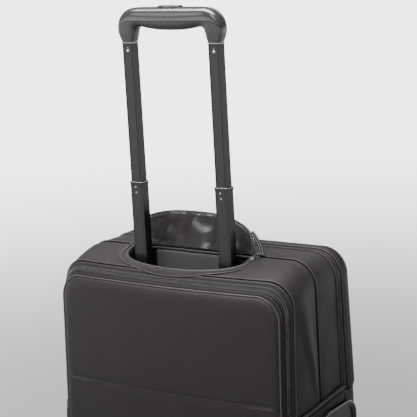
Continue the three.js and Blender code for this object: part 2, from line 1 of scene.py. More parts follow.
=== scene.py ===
# %% [markdown]
# # A rolling laptop case, sewn and moulded piece by piece
# The case is a bag of nylon cloth packed round a stiff frame, with two wheels, a tow handle that slides
# out of a well in the top, and a half-moon flap over the well. The frame was made in CAD and is loaded
# here as it is. Each lesson below makes one layer of cloth, metal or moulding in the same space.

import math

import bmesh
import bpy
import numpy as np
from mathutils import Matrix, Vector


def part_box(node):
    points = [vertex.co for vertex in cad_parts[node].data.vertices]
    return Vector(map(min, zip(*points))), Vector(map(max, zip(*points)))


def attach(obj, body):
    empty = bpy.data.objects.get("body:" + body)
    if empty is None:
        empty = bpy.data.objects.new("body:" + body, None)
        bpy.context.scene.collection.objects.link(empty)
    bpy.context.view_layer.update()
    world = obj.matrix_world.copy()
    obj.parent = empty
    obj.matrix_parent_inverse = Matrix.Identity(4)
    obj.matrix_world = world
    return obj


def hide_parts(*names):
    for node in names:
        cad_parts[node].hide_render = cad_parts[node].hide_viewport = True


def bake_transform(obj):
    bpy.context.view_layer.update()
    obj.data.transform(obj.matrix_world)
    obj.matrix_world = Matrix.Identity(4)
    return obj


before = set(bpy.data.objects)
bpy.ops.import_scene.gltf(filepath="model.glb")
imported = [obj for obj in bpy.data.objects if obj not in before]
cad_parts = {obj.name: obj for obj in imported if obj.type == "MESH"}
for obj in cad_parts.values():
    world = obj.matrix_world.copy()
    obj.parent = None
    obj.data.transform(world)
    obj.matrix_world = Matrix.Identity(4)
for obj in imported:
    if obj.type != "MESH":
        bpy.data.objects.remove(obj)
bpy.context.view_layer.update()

# %% [markdown]
# ## The viewpoint
# A long lens keeps the uprights nearly parallel, so the camera stands over two metres away, in front of
# the right-hand corner and a little above it. Its axes are worked out from three plain angles: how far
# it turns, how far it looks down, and how far it is rolled.

# %% Camera
EYE = Vector((1.3120, -1.8579, 0.8992))
TURN = math.radians(34.66)
LOOK_DOWN = math.radians(11.70)
ROLL = -0.0559


def camera_axes(turn, down, roll):
    """Right, up and backward axes of a camera turned about the upright, tipped down and rolled."""
    ahead = Vector((-math.sin(turn) * math.cos(down), math.cos(turn) * math.cos(down), -math.sin(down)))
    right = Vector((math.cos(turn), math.sin(turn), 0))
    up = right.cross(ahead)
    rolled_right = math.cos(roll) * right + math.sin(roll) * up
    rolled_up = -math.sin(roll) * right + math.cos(roll) * up
    return rolled_right, rolled_up, -ahead


lens = bpy.data.cameras.new("view_camera")
lens.sensor_width = 36
lens.lens = 127.7
lens.clip_start = 0.05
camera = bpy.data.objects.new("view_camera", lens)
bpy.context.scene.collection.objects.link(camera)
axes = Matrix(camera_axes(TURN, LOOK_DOWN, ROLL)).transposed()
camera.matrix_world = Matrix.Translation(EYE) @ axes.to_4x4()
bpy.context.scene.camera = camera
print("camera stands", round(EYE.length, 2), "m from the case")

# %% [markdown]
# ## Daylight studio
# Dark cloth only shows its form through soft highlights. A pale room gives the even light, a wide
# softbox overhead lifts the top, a small one at the left picks out the grip and the tubes, one in front
# lights the front panel, and a weak one behind keeps the rear edge from vanishing.


# %% Room, floor and softboxes
def softbox(name, at, aim, size, watts):
    light = bpy.data.lights.new(name, "AREA")
    light.shape = "RECTANGLE"
    light.size, light.size_y = size
    light.energy = watts
    holder = bpy.data.objects.new(name, light)
    holder.location = at
    holder.rotation_euler = (Vector(at) - Vector(aim)).to_track_quat("Z", "Y").to_euler()
    bpy.context.scene.collection.objects.link(holder)
    return holder


CENTRE = (0, 0, 0.35)
softbox("overhead_softbox", (-0.25, -0.55, 2.1), CENTRE, (1.5, 0.9), 190)
softbox("left_softbox", (-1.6, -2.2, 1.5), CENTRE, (0.5, 1.0), 8)
softbox("front_softbox", (0.1, -2.9, 2.0), CENTRE, (0.8, 0.8), 24)
softbox("rear_softbox", (-0.4, 2.2, 1.9), CENTRE, (1.8, 0.7), 12)

room = bpy.data.worlds.new("pale_room")
bpy.context.scene.world = room
room.use_nodes = True
room.node_tree.nodes["Background"].inputs["Color"].default_value = (1, 1, 1, 1)
room.node_tree.nodes["Background"].inputs["Strength"].default_value = 0.36

floor_mesh = bpy.data.meshes.new("studio_floor")
floor_mesh.from_pydata([(-40, -40, 0), (40, -40, 0), (40, 40, 0), (-40, 40, 0)], [], [(0, 1, 2, 3)])
studio_floor = bpy.data.objects.new("studio_floor", floor_mesh)
bpy.context.scene.collection.objects.link(studio_floor)
print("floor laid and", 4, "softboxes hung")

# %% [markdown]
# ## Shader sums
# A cloth's colour is a sum: thread pattern, dust, wear. Writing such sums as Python expressions keeps
# them short, so a small class wraps a node's output and adds the Math nodes for +, -, * and the rest.


# %% A socket that can be added and multiplied
class Wire:
    """One output socket of a finish, usable in sums."""

    def __init__(self, finish, socket):
        self.finish = finish
        self.socket = socket

    def sum_with(self, kind, first, second):
        return self.finish.node("ShaderNodeMath", {"operation": kind}, [first, second])

    def __add__(self, other):
        return self.sum_with("ADD", self, other)

    __radd__ = __add__

    def __sub__(self, other):
        return self.sum_with("SUBTRACT", self, other)

    def __rsub__(self, other):
        return self.sum_with("SUBTRACT", other, self)

    def __mul__(self, other):
        return self.sum_with("MULTIPLY", self, other)

    __rmul__ = __mul__

    def wave(self):
        return self.sum_with("SINE", self, 0)

    def clamp(self, low=0.0, high=1.0):
        raised = self.sum_with("MAXIMUM", self, low)
        return self.sum_with("MINIMUM", raised, high)


class Finish:
    """A material built node by node; constants go on the shader's own sockets."""

    def __init__(self, name, **constants):
        self.material = bpy.data.materials.new(name)
        self.material.use_nodes = True
        self.tree = self.material.node_tree
        self.shader = self.tree.nodes["Principled BSDF"]
        for socket, value in constants.items():
            self.shader.inputs[socket.replace("_", " ")].default_value = value

    def put(self, socket, value):
        if isinstance(value, Wire):
            self.tree.links.new(value.socket, socket)
        else:
            socket.default_value = value

    def node(self, kind, settings, values, output=0):
        made = self.tree.nodes.new(kind)
        for key, value in settings.items():
            if key == "stops":
                ramp = made.color_ramp
                while len(ramp.elements) < len(value):
                    ramp.elements.new(0.5)
                for element, (place, colour) in zip(ramp.elements, value):
                    element.position = place
                    element.color = colour
            else:
                setattr(made, key, value)
        pairs = enumerate(values) if isinstance(values, (list, tuple)) else values.items()
        for key, value in pairs:
            self.put(made.inputs[key], value)
        return Wire(self, made.outputs[output])

    def place(self):
        """The point on the object, in metres."""
        return self.node("ShaderNodeTexCoord", {}, {}, "Object")

    def cloth_place(self):
        """The distance along and across the cut cloth, in metres."""
        return self.node("ShaderNodeUVMap", {"uv_map": "cloth"}, {})

    def part(self, vector, axis):
        return self.node("ShaderNodeSeparateXYZ", {}, [vector], axis)

    def noise(self, vector, scale, detail=3.0, roughness=0.5):
        values = {"Vector": vector, "Scale": scale, "Detail": detail, "Roughness": roughness}
        return self.node("ShaderNodeTexNoise", {"noise_dimensions": "3D"}, values, 0)

    def blend(self, factor, first, second):
        return self.node("ShaderNodeMix", {"data_type": "RGBA"}, {0: factor, 6: first, 7: second}, 2)

    def bump(self, height, distance, strength=1.0, under=None):
        values = {"Strength": strength, "Distance": distance, "Height": height}
        if under is not None:
            values["Normal"] = under
        return self.node("ShaderNodeBump", {}, values)

    def feed(self, **links):
        for socket, value in links.items():
            self.put(self.shader.inputs[socket.replace("_", " ")], value)
        return self.material


def grey(level, warm=0.0):
    return (level * (1 + warm), level, level * (1 - warm * 0.2), 1)


# %% [markdown]
# ## Woven cloth
# Case nylon is a plain weave of thick yarn: over one, under one. Two sine waves across each other give
# the yarn crowns, and their product tells which yarn lies on top. A faint sheen comes from the loose
# fibre ends. Slow noise varies the colour, as handling and dust do.


# %% Cloth finishes
def weave(finish, pitch):
    """0 to 1 height of a plain weave with that yarn pitch, in metres."""
    cloth = finish.cloth_place()
    across = (finish.part(cloth, "X") * (math.pi / pitch)).wave()
    along = (finish.part(cloth, "Y") * (math.pi / pitch)).wave()
    return (across * along) * 0.5 + 0.5


def cloth_finish(name, dark, light, rough, sheen, pitch, depth, tint=0.11, **more):
    finish = Finish(name, Sheen_Weight=sheen, Sheen_Roughness=0.45, Specular_IOR_Level=0.12, **more)
    yarn = weave(finish, pitch)
    dust = finish.noise(finish.place(), 14, 4, 0.6)
    fleck = finish.noise(finish.place(), 900, 1, 0.5)
    tone = (yarn * 0.35 + dust * 0.5 + fleck * 0.25).clamp()
    colour = finish.blend(tone, grey(dark, tint), grey(light, tint))
    softness = rough + (dust - 0.5) * 0.16 - yarn * 0.05
    rumple = finish.bump(finish.noise(finish.place(), 30, 3, 0.55), 0.0012, 0.5)
    surface = finish.bump(yarn + fleck * 0.3, depth, 0.8, rumple)
    return finish.feed(Base_Color=colour, Roughness=softness, Normal=surface)


NYLON = cloth_finish("case_nylon", 0.0072, 0.0145, 0.55, 0.02, 0.0011, 0.00022)
BOOT = cloth_finish("coated_boot_cloth", 0.0026, 0.0056, 0.50, 0.01, 0.0016, 0.0003)
LINING = cloth_finish("satin_lining", 0.0048, 0.0105, 0.32, 0.02, 0.0005, 0.00006, Coat_Weight=0.10,
                      Coat_Roughness=0.35)
# Pad cover grey: partly the cover's own colour, partly painted light for overhead light the well shades off
# it.
PAD_CLOTH_AND_LIGHT = cloth_finish("grey_pad_cloth_and_painted_light", 0.018, 0.046, 0.60, 0.06, 0.0014, 0.0003, 0.01)
BINDING = cloth_finish("ribbed_binding", 0.013, 0.027, 0.36, 0.04, 0.0014, 0.0003)
# Piping is lighter than the nylon: partly the tape's own tone, partly painted highlight for the lit seam
# lines.
PIPING_TAPE_AND_HIGHLIGHT = cloth_finish("piping_tape_and_painted_highlight", 0.018, 0.036, 0.32, 0.04, 0.0009, 0.0002)
# Near-black finish for the strips in the valleys beside the pipings: painted shade.
SEAM_SHADE = cloth_finish("painted_seam_shade", 0.0004, 0.0010, 0.80, 0.0, 0.0010, 0.0002)
TAPE = cloth_finish("zip_tape", 0.0030, 0.0062, 0.62, 0.02, 0.0013, 0.00022)
THREAD = cloth_finish("stitch_thread", 0.026, 0.050, 0.42, 0.04, 0.0004, 0.0001)
print("cloth finishes:", [m.name for m in (NYLON, BOOT, LINING, BINDING, PIPING_TAPE_AND_HIGHLIGHT, TAPE, THREAD)])

# %% [markdown]
# ## Mouldings and metal
# Moulded plastic carries the spark-eroded grain of its tool; the grip is polished smoother by the hand.
# The drawn tubes are anodised: dull along their length, with faint die lines. Bright parts are plated.


# %% Hard finishes
def moulded(name, level, rough, grain, coat=0.0):
    finish = Finish(name, Specular_IOR_Level=0.35, Coat_Weight=coat, Coat_Roughness=0.12)
    pebbles = finish.noise(finish.place(), 1500, 2, 0.5)
    rubs = finish.noise(finish.place(), 22, 5, 0.65)
    colour = finish.blend(rubs, grey(level * 0.8, 0.06), grey(level * 1.3, 0.06))
    return finish.feed(Base_Color=colour, Roughness=rough + (rubs - 0.5) * 0.14 + pebbles * 0.04,
                       Normal=finish.bump(pebbles, grain, 0.6))


def drawn_metal(name, level, rough, streak, metallic=1.0, tint=0.0, edge=1.0):
    finish = Finish(name, Metallic=metallic, Specular_IOR_Level=0.35, Specular_Tint=grey(edge))
    stretched = finish.node("ShaderNodeVectorMath", {"operation": "MULTIPLY"},
                            [finish.place(), (1, 1, 0.02)])
    lines = finish.noise(stretched, 2600, 2, 0.5)
    smudge = finish.noise(finish.place(), 35, 4, 0.6)
    colour = finish.blend(smudge, grey(level * 0.85, tint), grey(level * 1.15, tint))
    return finish.feed(Base_Color=colour, Roughness=rough + (smudge - 0.5) * 0.12 + lines * 0.05,
                       Normal=finish.bump(lines, streak, 0.5))


GRIP = moulded("polished_grip_moulding", 0.016, 0.20, 0.00002, 0.25)
GRIP_LOW = moulded("grained_grip_moulding", 0.007, 0.38, 0.00006, 0.05)
PLASTIC = moulded("black_moulding", 0.0040, 0.36, 0.00008)
HUB = moulded("grey_hub_moulding", 0.03, 0.42, 0.00006)
RUBBER = moulded("tyre_rubber", 0.005, 0.75, 0.0001)
COIL = moulded("zip_coil_nylon", 0.042, 0.26, 0.00002)
TUBE = drawn_metal("gunmetal_tube", 0.027, 0.36, 0.00004, 0.80, 0.015, 0.40)
# Rim moulding: polished (low roughness), and its colour, lighter than the black moulding, is painted
# highlight for the rim's bright arcs.
RIM = moulded("polished_rim_painted_highlight", 0.020, 0.24, 0.00002, 0.3)
TRIM = drawn_metal("dark_plating", 0.20, 0.26, 0.00002, 1.0, 0.0, 0.6)
BRIGHT = drawn_metal("bright_plating", 0.42, 0.22, 0.00002)
STEEL = drawn_metal("brushed_steel", 0.20, 0.32, 0.00004)

# The floor glows as painted light: its emission is faint near the case and bright far off, so the dim ground
# round the case is painted shade.
floor_finish = Finish("glowing_pale_floor", Roughness=0.9, Specular_IOR_Level=0.1, Emission_Strength=4.0)
spot = floor_finish.node("ShaderNodeVectorMath", {"operation": "LENGTH"}, [floor_finish.place()], 1)
glow = floor_finish.node("ShaderNodeMapRange", {"interpolation_type": "SMOOTHSTEP"},
                         {"Value": spot, "From Min": 0.3, "From Max": 3.4, "To Min": 0.05, "To Max": 1.0})
glow_colour = floor_finish.blend(glow, (0, 0, 0, 1), (1, 1, 1, 1))
paper = floor_finish.noise(floor_finish.place(), 3, 3, 0.5)
studio_floor.data.materials.append(floor_finish.feed(
    Emission_Color=glow_colour,
    Base_Color=floor_finish.blend(paper, (0.135, 0.135, 0.135, 1), (0.145, 0.145, 0.145, 1))))
print("hard finishes made")

# %% [markdown]
# ## From points to pieces
# Cloth panels are grids of points: rows run round the case, columns run from front to back. A panel has
# an outer face, a lining face a few millimetres inside it, and edges that join the two, so that every
# piece is a closed solid. Distances along the grid are kept as cloth coordinates for the weave.


# %% Making closed pieces
def lengths(points, axis):
    """Distance along one axis of a grid of points, averaged over the other."""
    steps = np.linalg.norm(np.diff(points, axis=axis), axis=-1).mean(axis=1 - axis)
    return np.concatenate([[0], np.cumsum(steps)])


def dress(piece, finishes, body, stands_for=(), sharp=35):
    """Finishes, shading, body and CAD nodes of a new piece."""
    for finish in finishes:
        piece.data.materials.append(finish)
    piece.data.shade_smooth()
    piece.data.set_sharp_from_angle(angle=math.radians(sharp))
    if body:
        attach(piece, body)
    if stands_for:
        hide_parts(*stands_for)
    return piece


def piece_from(name, points, faces, cloth=None, picks=None):
    """A mesh object from points, faces, cloth coordinates for each point and a finish for each face."""
    mesh = bpy.data.meshes.new(name)
    mesh.from_pydata(np.asarray(points, float).reshape(-1, 3).tolist(), [], faces)
    if cloth is not None:
        layer = mesh.uv_layers.new(name="cloth")
        corner_points = np.empty(len(mesh.loops), np.int32)
        mesh.loops.foreach_get("vertex_index", corner_points)
        layer.data.foreach_set("uv", np.asarray(cloth, float).reshape(-1, 2)[corner_points].ravel())
    if picks is not None:
        mesh.polygons.foreach_set("material_index", np.asarray(picks, np.int32))
    piece = bpy.data.objects.new(name, mesh)
    bpy.context.scene.collection.objects.link(piece)
    shape = bmesh.new()
    shape.from_mesh(mesh)
    bmesh.ops.recalc_face_normals(shape, faces=shape.faces)
    shape.to_mesh(mesh)
    shape.free()
    return piece


def panel(name, outer, inner, wrap=False, cloth=None):
    """A closed panel between two grids of points; wrap joins the last column to the first."""
    rows, columns = outer.shape[:2]
    count = rows * columns
    ends = columns if wrap else columns - 1
    faces, picks = [], []
    for r in range(rows - 1):
        for c in range(ends):
            a, b = r * columns + c, r * columns + (c + 1) % columns
            faces.append((a, b, b + columns, a + columns))
            faces.append((count + a, count + a + columns, count + b + columns, count + b))
            picks += [0, 1]
    for r in (0, rows - 1):
        for c in range(ends):
            a, b = r * columns + c, r * columns + (c + 1) % columns
            faces.append((a, b, count + b, count + a))
            picks.append(0)
    if not wrap:
        for c in (0, columns - 1):
            for r in range(rows - 1):
                a = r * columns + c
                faces.append((a, a + columns, count + a + columns, count + a))
                picks.append(0)
    if cloth is None:
        along, across = np.meshgrid(lengths(outer, 1), lengths(outer, 0))
        cloth = np.stack([along, across], -1)
    both = np.concatenate([cloth.reshape(-1, 2)] * 2)
    points = np.concatenate([outer.reshape(-1, 3), inner.reshape(-1, 3)])
    return piece_from(name, points, faces, both, picks)


def unit(vectors):
    return vectors / np.maximum(np.linalg.norm(vectors, axis=-1, keepdims=True), 1e-12)


def along_path(path, closed=False):
    """Unit direction at each point of a path."""
    if closed:
        return unit(np.roll(path, -1, 0) - np.roll(path, 1, 0))
    return unit(np.gradient(path, axis=0))


def round_cord(name, path, radius, up, closed=False, sides=8, flat=1.0):
    """A sewn-in cord or binding along a path; flat below 1 presses it against the cloth."""
    path = np.asarray(path, float)
    ahead = along_path(path, closed)
    side = unit(np.cross(ahead, up))
    top = unit(np.cross(side, ahead))
    turn = np.linspace(0, 2 * math.pi, sides, endpoint=False)
    ring = (path[:, None] + radius * np.cos(turn)[None, :, None] * side[:, None]
            + radius * flat * np.sin(turn)[None, :, None] * top[:, None])
    rows = len(path)
    faces = []
    for r in range(rows if closed else rows - 1):
        for c in range(sides):
            a, b = r * sides + c, r * sides + (c + 1) % sides
            nxt = ((r + 1) % rows) * sides
            faces.append((a, b, nxt + (c + 1) % sides, nxt + c))
    if not closed:
        faces.append(tuple(range(sides)))
        faces.append(tuple(range((rows - 1) * sides, rows * sides)))
    step = np.linalg.norm(np.diff(path, axis=0, append=path[:1]), axis=1)
    run = np.concatenate([[0], np.cumsum(step)[:-1]])
    cloth = np.stack(np.meshgrid(run, turn * radius, indexing="ij"), -1)
    return piece_from(name, ring, faces, cloth)


BLOCK_FACES = [(0, 1, 3, 2), (4, 6, 7, 5), (0, 4, 5, 1), (2, 3, 7, 6), (0, 2, 6, 4), (1, 5, 7, 3)]


def spread(path, pitch, start=0.0):
    """Evenly spaced places on a path, as fractional point numbers."""
    run = np.concatenate([[0], np.cumsum(np.linalg.norm(np.diff(path, axis=0), axis=1))])
    return np.interp(np.arange(start, run[-1], pitch), run, np.arange(len(path)))


def sample(values, places):
    low = np.clip(places.astype(int), 0, len(values) - 2)
    share = (places - low)[:, None]
    return values[low] * (1 - share) + values[low + 1] * share


def studs(name, path, up, pitch, size, shift=0.0, start=0.0, taper=0.7):
    """A row of small tapered blocks on a path, such as zip teeth or stitches."""
    path, up = np.asarray(path, float), np.broadcast_to(np.asarray(up, float), np.shape(path))
    ahead = along_path(path)
    places = spread(path, pitch, start)
    centre, forward, rise = sample(path, places), unit(sample(ahead, places)), unit(sample(up, places))
    side = unit(np.cross(forward, rise))
    rise = unit(np.cross(side, forward))
    length, width, height = size
    corners = []
    for f in (-0.5, 0.5):
        for s in (-0.5, 0.5):
            for h in (0, 1):
                pinch = taper if h else 1
                corners.append(centre + forward * length * f * pinch + side * (shift + width * s * pinch)
                               + rise * height * h)
    points = np.stack(corners, 1)
    faces = [tuple(8 * i + k for k in face) for i in range(len(places)) for face in BLOCK_FACES]
    cloth = np.tile(np.array([[0, 0], [0, 1], [1, 0], [1, 1]] * 2) * 0.001, (len(places), 1))
    return piece_from(name, points, faces, cloth)


def sewn_cord(name, path, radius, up, finish, body, slot="nylon", **shape):
    """A cord or binding, sewn on."""
    return dress(round_cord(name, path, radius, up, **shape), (finish,), body, (), 80)


STITCH_PITCH = 0.0034
COIL_PITCH = 0.0022


def stitch_row(name, path, up, body, slot="nylon", size=(0.0024, 0.0006, 0.0005), **place):
    """A line of lock stitches."""
    return dress(studs(name, path, up, STITCH_PITCH, size, **place), (THREAD,), body, (), 60)


def tube_faces(rows, columns):
    """Faces of a loft through closed rings, with both ends filled."""
    faces = [(r * columns + k, r * columns + (k + 1) % columns, (r + 1) * columns + (k + 1) % columns,
              (r + 1) * columns + k) for r in range(rows - 1) for k in range(columns)]
    return faces + [tuple(range(columns)), tuple(range((rows - 1) * columns, rows * columns))]


def carved(piece, *tools, operation="DIFFERENCE"):
    """Cuts tool solids from a piece and removes the tools."""
    for tool in tools:
        step = piece.modifiers.new("cut", "BOOLEAN")
        step.operation = operation
        step.solver = "EXACT"
        step.object = tool
    bpy.context.view_layer.update()
    made = bpy.data.meshes.new_from_object(piece.evaluated_get(bpy.context.evaluated_depsgraph_get()))
    piece.modifiers.clear()
    piece.data = made
    made.name = piece.name
    return piece


def discard(*tools):
    for tool in tools:
        bpy.data.objects.remove(tool)


def prism(name, outline, axis, low, high):
    """A solid from a closed outline, run along x, y or z."""
    outline = np.asarray(outline, float)
    order = {"x": (2, 0, 1), "y": (0, 2, 1), "z": (0, 1, 2)}[axis]
    rings = []
    for end in (low, high):
        flat = np.column_stack([outline, np.full(len(outline), end)])
        rings.append(flat[:, order])
    count = len(outline)
    faces = [(i, (i + 1) % count, count + (i + 1) % count, count + i) for i in range(count)]
    faces += [tuple(range(count)), tuple(range(count, 2 * count))]
    return piece_from(name, np.concatenate(rings), faces)


def ripple(a, b, scale, seed, waves=7):
    """Smooth unevenness of cloth between -1 and 1, the same each time."""
    draw = np.random.default_rng(seed)
    total = np.zeros_like(np.asarray(a, float) + np.asarray(b, float))
    for _ in range(waves):
        angle, length, phase = draw.uniform(0, math.pi), draw.uniform(0.6, 1.9) * scale, draw.uniform(0, 7)
        total += np.sin((a * math.cos(angle) + b * math.sin(angle)) * 2 * math.pi / length + phase)
    return total / waves


print("piece-making tools ready")

# %% [markdown]
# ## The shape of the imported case
# Seen from the front the case is a rounded rectangle. Going back it grows from the front piping to the
# shoulder, stays level, and rounds off again at the rear. The front leans and bows, the rear leans the
# other way. One function places any point of that outline, so all panels meet along the same seams.

# %% Outline and packed form
HALF_WIDTH, BOTTOM, TOP = 0.215, 0.034, 0.362
TOP_CORNER, LOW_CORNER = 0.040, 0.024
FRONT_PIPING_Y, FRONT_ZIP_Y, REAR_ZIP_Y = -0.087, -0.076, 0.068
STATION_Y = [-0.093, -0.091, -0.087, -0.065, 0.090, 0.098, 0.1024, 0.1044]
SIDE_INSET = [0.026, 0.017, 0.012, 0, 0, 0.002, 0.006, 0.014]
TOP_INSET = [0.034, 0.025, 0.020, 0, 0, 0.002, 0.006, 0.014]


def ramp(value, start, end):
    return np.clip((np.asarray(value, float) - start) / (end - start), 0, 1)


def packed(x, y, z):
    """Leans the walls and bows the front of a point drawn with straight walls."""
    front, rear = ramp(y, -0.032, -0.065), ramp(y, 0, 0.1044)
    bow = 0.013 * front * (1 - (x / HALF_WIDTH) ** 2)
    return np.stack(np.broadcast_arrays(x, y - bow + (0.305 - z) * (0.055 * rear - 0.0445 * front), z), -1)


def on_case(x, z, y):
    """Places a point of the full outline at a depth station."""
    side, top = np.interp(y, STATION_Y, SIDE_INSET), np.interp(y, STATION_Y, TOP_INSET)
    drop = top + 0.016 * ramp(y, -0.013, -0.065)
    return packed(x * (1 - side / HALF_WIDTH), y, z - drop * (z - BOTTOM) / (TOP - BOTTOM))


def outline(low=None, step=0.005):
    """Points and outward directions of the case's outline, from the lower left over the top.
    With low it is open and starts and ends at that height; without it closes under the case."""
    points, out = [], []

    def straight(start, end, direction):
        count = max(2, int(np.linalg.norm(np.subtract(end, start)) / step))
        for t in np.linspace(0, 1, count, endpoint=False):
            points.append((start[0] + (end[0] - start[0]) * t, start[1] + (end[1] - start[1]) * t))
            out.append(direction)

    def corner(x, z, radius, start):
        for turn in np.radians(np.linspace(start, start - 90, 12, endpoint=False)):
            points.append((x + radius * math.cos(turn), z + radius * math.sin(turn)))
            out.append((math.cos(turn), math.sin(turn)))

    w, c, k = HALF_WIDTH, TOP_CORNER, LOW_CORNER
    foot = BOTTOM + k if low is None else low
    straight((-w, foot), (-w, TOP - c), (-1, 0))
    corner(-w + c, TOP - c, c, 180)
    straight((-w + c, TOP), (w - c, TOP), (0, 1))
    corner(w - c, TOP - c, c, 90)
    straight((w, TOP - c), (w, foot), (1, 0))
    if low is None:
        corner(w - k, BOTTOM + k, k, 0)
        straight((w - k, BOTTOM), (-w + k, BOTTOM), (0, -1))
        corner(-w + k, BOTTOM + k, k, -90)
    else:
        points.append((w, foot))
        out.append((1, 0))
    return np.array(points), np.array(out)


def rim_line(y, rise=0.0, low=None, step=0.005):
    """The case's outline at one depth, raised off the skin, with the directions away from it."""
    points, out = outline(low, step)
    lifted = points + out * rise
    away = np.column_stack([out[:, 0], np.zeros(len(out)), out[:, 1]])
    return on_case(lifted[:, 0], lifted[:, 1], y), away


def diagonal_pull(rows, points):
    """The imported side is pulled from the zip's top corner down to the boot, which raises a soft fold."""
    y, z = np.array([row[0] for row in rows])[:, None], points[:, 1][None]
    on_side = np.clip((np.abs(points[:, 0]) - 0.190) / 0.020, 0, 1)[None]
    on_side = on_side * ramp(z, 0.11, 0.15) * ramp(z, 0.345, 0.30)
    fold = y + 0.052 - (0.320 - z) * 0.27
    return 0.0042 * on_side * np.exp(-(fold / np.where(fold < 0, 0.007, 0.020)) ** 2)


def band(name, rows, thickness, low=None, step=0.005, rumple=0.0):
    """A cloth band round the case. Rows are (depth, rise off the skin); it is closed if low is None."""
    outer = np.stack([rim_line(y, rise, low, step)[0] for y, rise in rows])
    inner = np.stack([rim_line(y, rise - thickness, low, step)[0] for y, rise in rows])
    if rumple:
        away = rim_line(0, 0, low, step)[1]
        run, across = np.meshgrid(lengths(outer, 1), lengths(outer, 0))
        fade = np.sin(np.linspace(0, math.pi, len(rows)))[:, None]
        pull = diagonal_pull(rows, outline(low, step)[0])
        waves = (rumple * ripple(run, across * 0.7, 0.085, 17) + pull) * fade
        outer = outer + away[None] * waves[..., None]
    return panel(name, outer, inner, wrap=low is None)


def swell(start, end, low, high, rows=9):
    """Rows of a band that swells between two seams."""
    t = np.linspace(0, 1, rows)
    return [(start + (end - start) * k, low + (high - low) * math.sin(math.pi * k) ** 0.7) for k in t]


print("outline has", len(outline()[0]), "points")

# %% [markdown]
# ## Cutting tools
# The wheel housings and the handle well pass through the cloth. On the sewing table those openings are
# cut with a pattern; here the same patterns are solids taken away from the panels.


# %% Patterns for the openings
def arc(cy, cz, radius, start, end, count=10):
    turns = np.radians(np.linspace(start, end, count))
    return np.column_stack([cy + radius * np.cos(turns), cz + radius * np.sin(turns)])


HOUSING = {"inner": 0.186, "outer": 0.224, "front": -0.014, "rear": 0.094, "low": 0.020, "top": 0.125}


def housing_outline(grow=0.0):
    """Side view of a wheel housing: round at the top, cut off at the lower rear."""
    h = HOUSING
    front, rear, low, top = h["front"] - grow, h["rear"] + grow, h["low"] - grow, h["top"] + grow
    r = 0.028 + grow
    return np.concatenate([
        [(front, low), (rear - 0.018, low), (rear, low + 0.016)],
        arc(rear - r, top - r, r, 0, 90), arc(front + r, top - r, r, 90, 180)])


WELL = {"half": 0.112, "rear": -0.013, "side": -0.028, "front": -0.072}


def well_outline(grow=0.0, count=49):
    """Half-moon outline of the handle well, from the rear right round the front to the rear left."""
    turns = np.linspace(0, -math.pi, count)
    deep = WELL["side"] - WELL["front"]
    curve = np.column_stack([(WELL["half"] + grow) * np.cos(turns),
                             WELL["side"] + (deep + grow) * np.sin(turns)])
    rear = [(WELL["half"] + grow, WELL["rear"])]
    return np.concatenate([rear, curve, [(-WELL["half"] - grow, WELL["rear"])]])


def top_height(x, y):
    """Height of the cloth on top of the case over a point of the floor plan."""
    drawn = np.array(y, float)
    for _ in range(12):
        z = TOP - np.interp(drawn, STATION_Y, TOP_INSET) - 0.016 * ramp(drawn, -0.013, -0.065)
        front, rear = ramp(drawn, -0.032, -0.065), ramp(drawn, 0, 0.1044)
        bow = 0.013 * front * (1 - (np.asarray(x) / HALF_WIDTH) ** 2)
        drawn = 0.5 * drawn + 0.5 * (y + bow - (0.305 - z) * (0.055 * rear - 0.0445 * front))
    return z


def housing_tools():
    outline_grown = housing_outline(0.0003)
    inner, outer = HOUSING["inner"] - 0.0003, 0.250
    return [prism("housing_tool", outline_grown, "x", inner, outer),
            prism("housing_tool", outline_grown, "x", -outer, -inner)]


print("well mouth at its front is", round(float(top_height(0, WELL["front"])) * 1000), "mm up")

# %% [markdown]
# ## The body cloth
# Between the zips the case is one deep band of nylon, sewn from three widths. A sewn band is never
# dead flat: it swells a little between its seams, so each width is lofted with a low crown.

# %% Three widths of body cloth
CASE = "case"
CLOTH_THICKNESS = 0.0026


def body_band(name, start, end, low, high, rows, cuts=(), stands_for=()):
    piece = band(name, swell(start, end, low, high, rows), CLOTH_THICKNESS, rumple=0.0022)
    if cuts:
        carved(piece, *cuts)
        discard(*cuts)
    return dress(piece, (NYLON, LINING), CASE, stands_for)


def well_tool(grow=0.0):
    return prism("well_tool", well_outline(grow), "z", 0.300, 0.400)


strip_rows = [(-0.0706, -0.0010), (-0.0700, 0.0008), (-0.0690, 0.0016), (-0.0680, 0.0014), (-0.0672, 0.0002),
              (-0.0667, -0.0020)]
dress(band("cloth_zip_strip", strip_rows, CLOTH_THICKNESS), (NYLON, LINING), CASE, ())
body_band("cloth_front_width", -0.0638, 0.0006, -0.0008, 0.0020, 19,
          [well_tool(0.001), *housing_tools()], ["case_shell", "case_top"])
body_band("cloth_rear_width", 0.0034, 0.0612, 0.0002, 0.0012, 13, housing_tools())
print("body cloth is", CLOTH_THICKNESS * 1000, "mm thick")

# %% [markdown]
# ## Doors
# The front pocket and the rear compartment open like suitcase lids. Each lid is a narrow gusset with a
# face panel sewn into it over a piped seam. The face rolls over into the piping, so its depth depends
# on the distance to the edge, and that distance comes from the formula for a rounded rectangle.

# %% Face panels
def inside_distance(x, z, half, low, high, radius):
    """How far a point lies inside a rounded rectangle that has no lower edge."""
    middle = (low + high) / 2
    a = np.abs(x) - (half - radius)
    b = np.where(z > middle, z - middle - ((high - low) / 2 - radius), -1.0)
    outside = np.hypot(np.maximum(a, 0), np.maximum(b, 0))
    return radius - outside - np.minimum(np.maximum(a, b), 0)


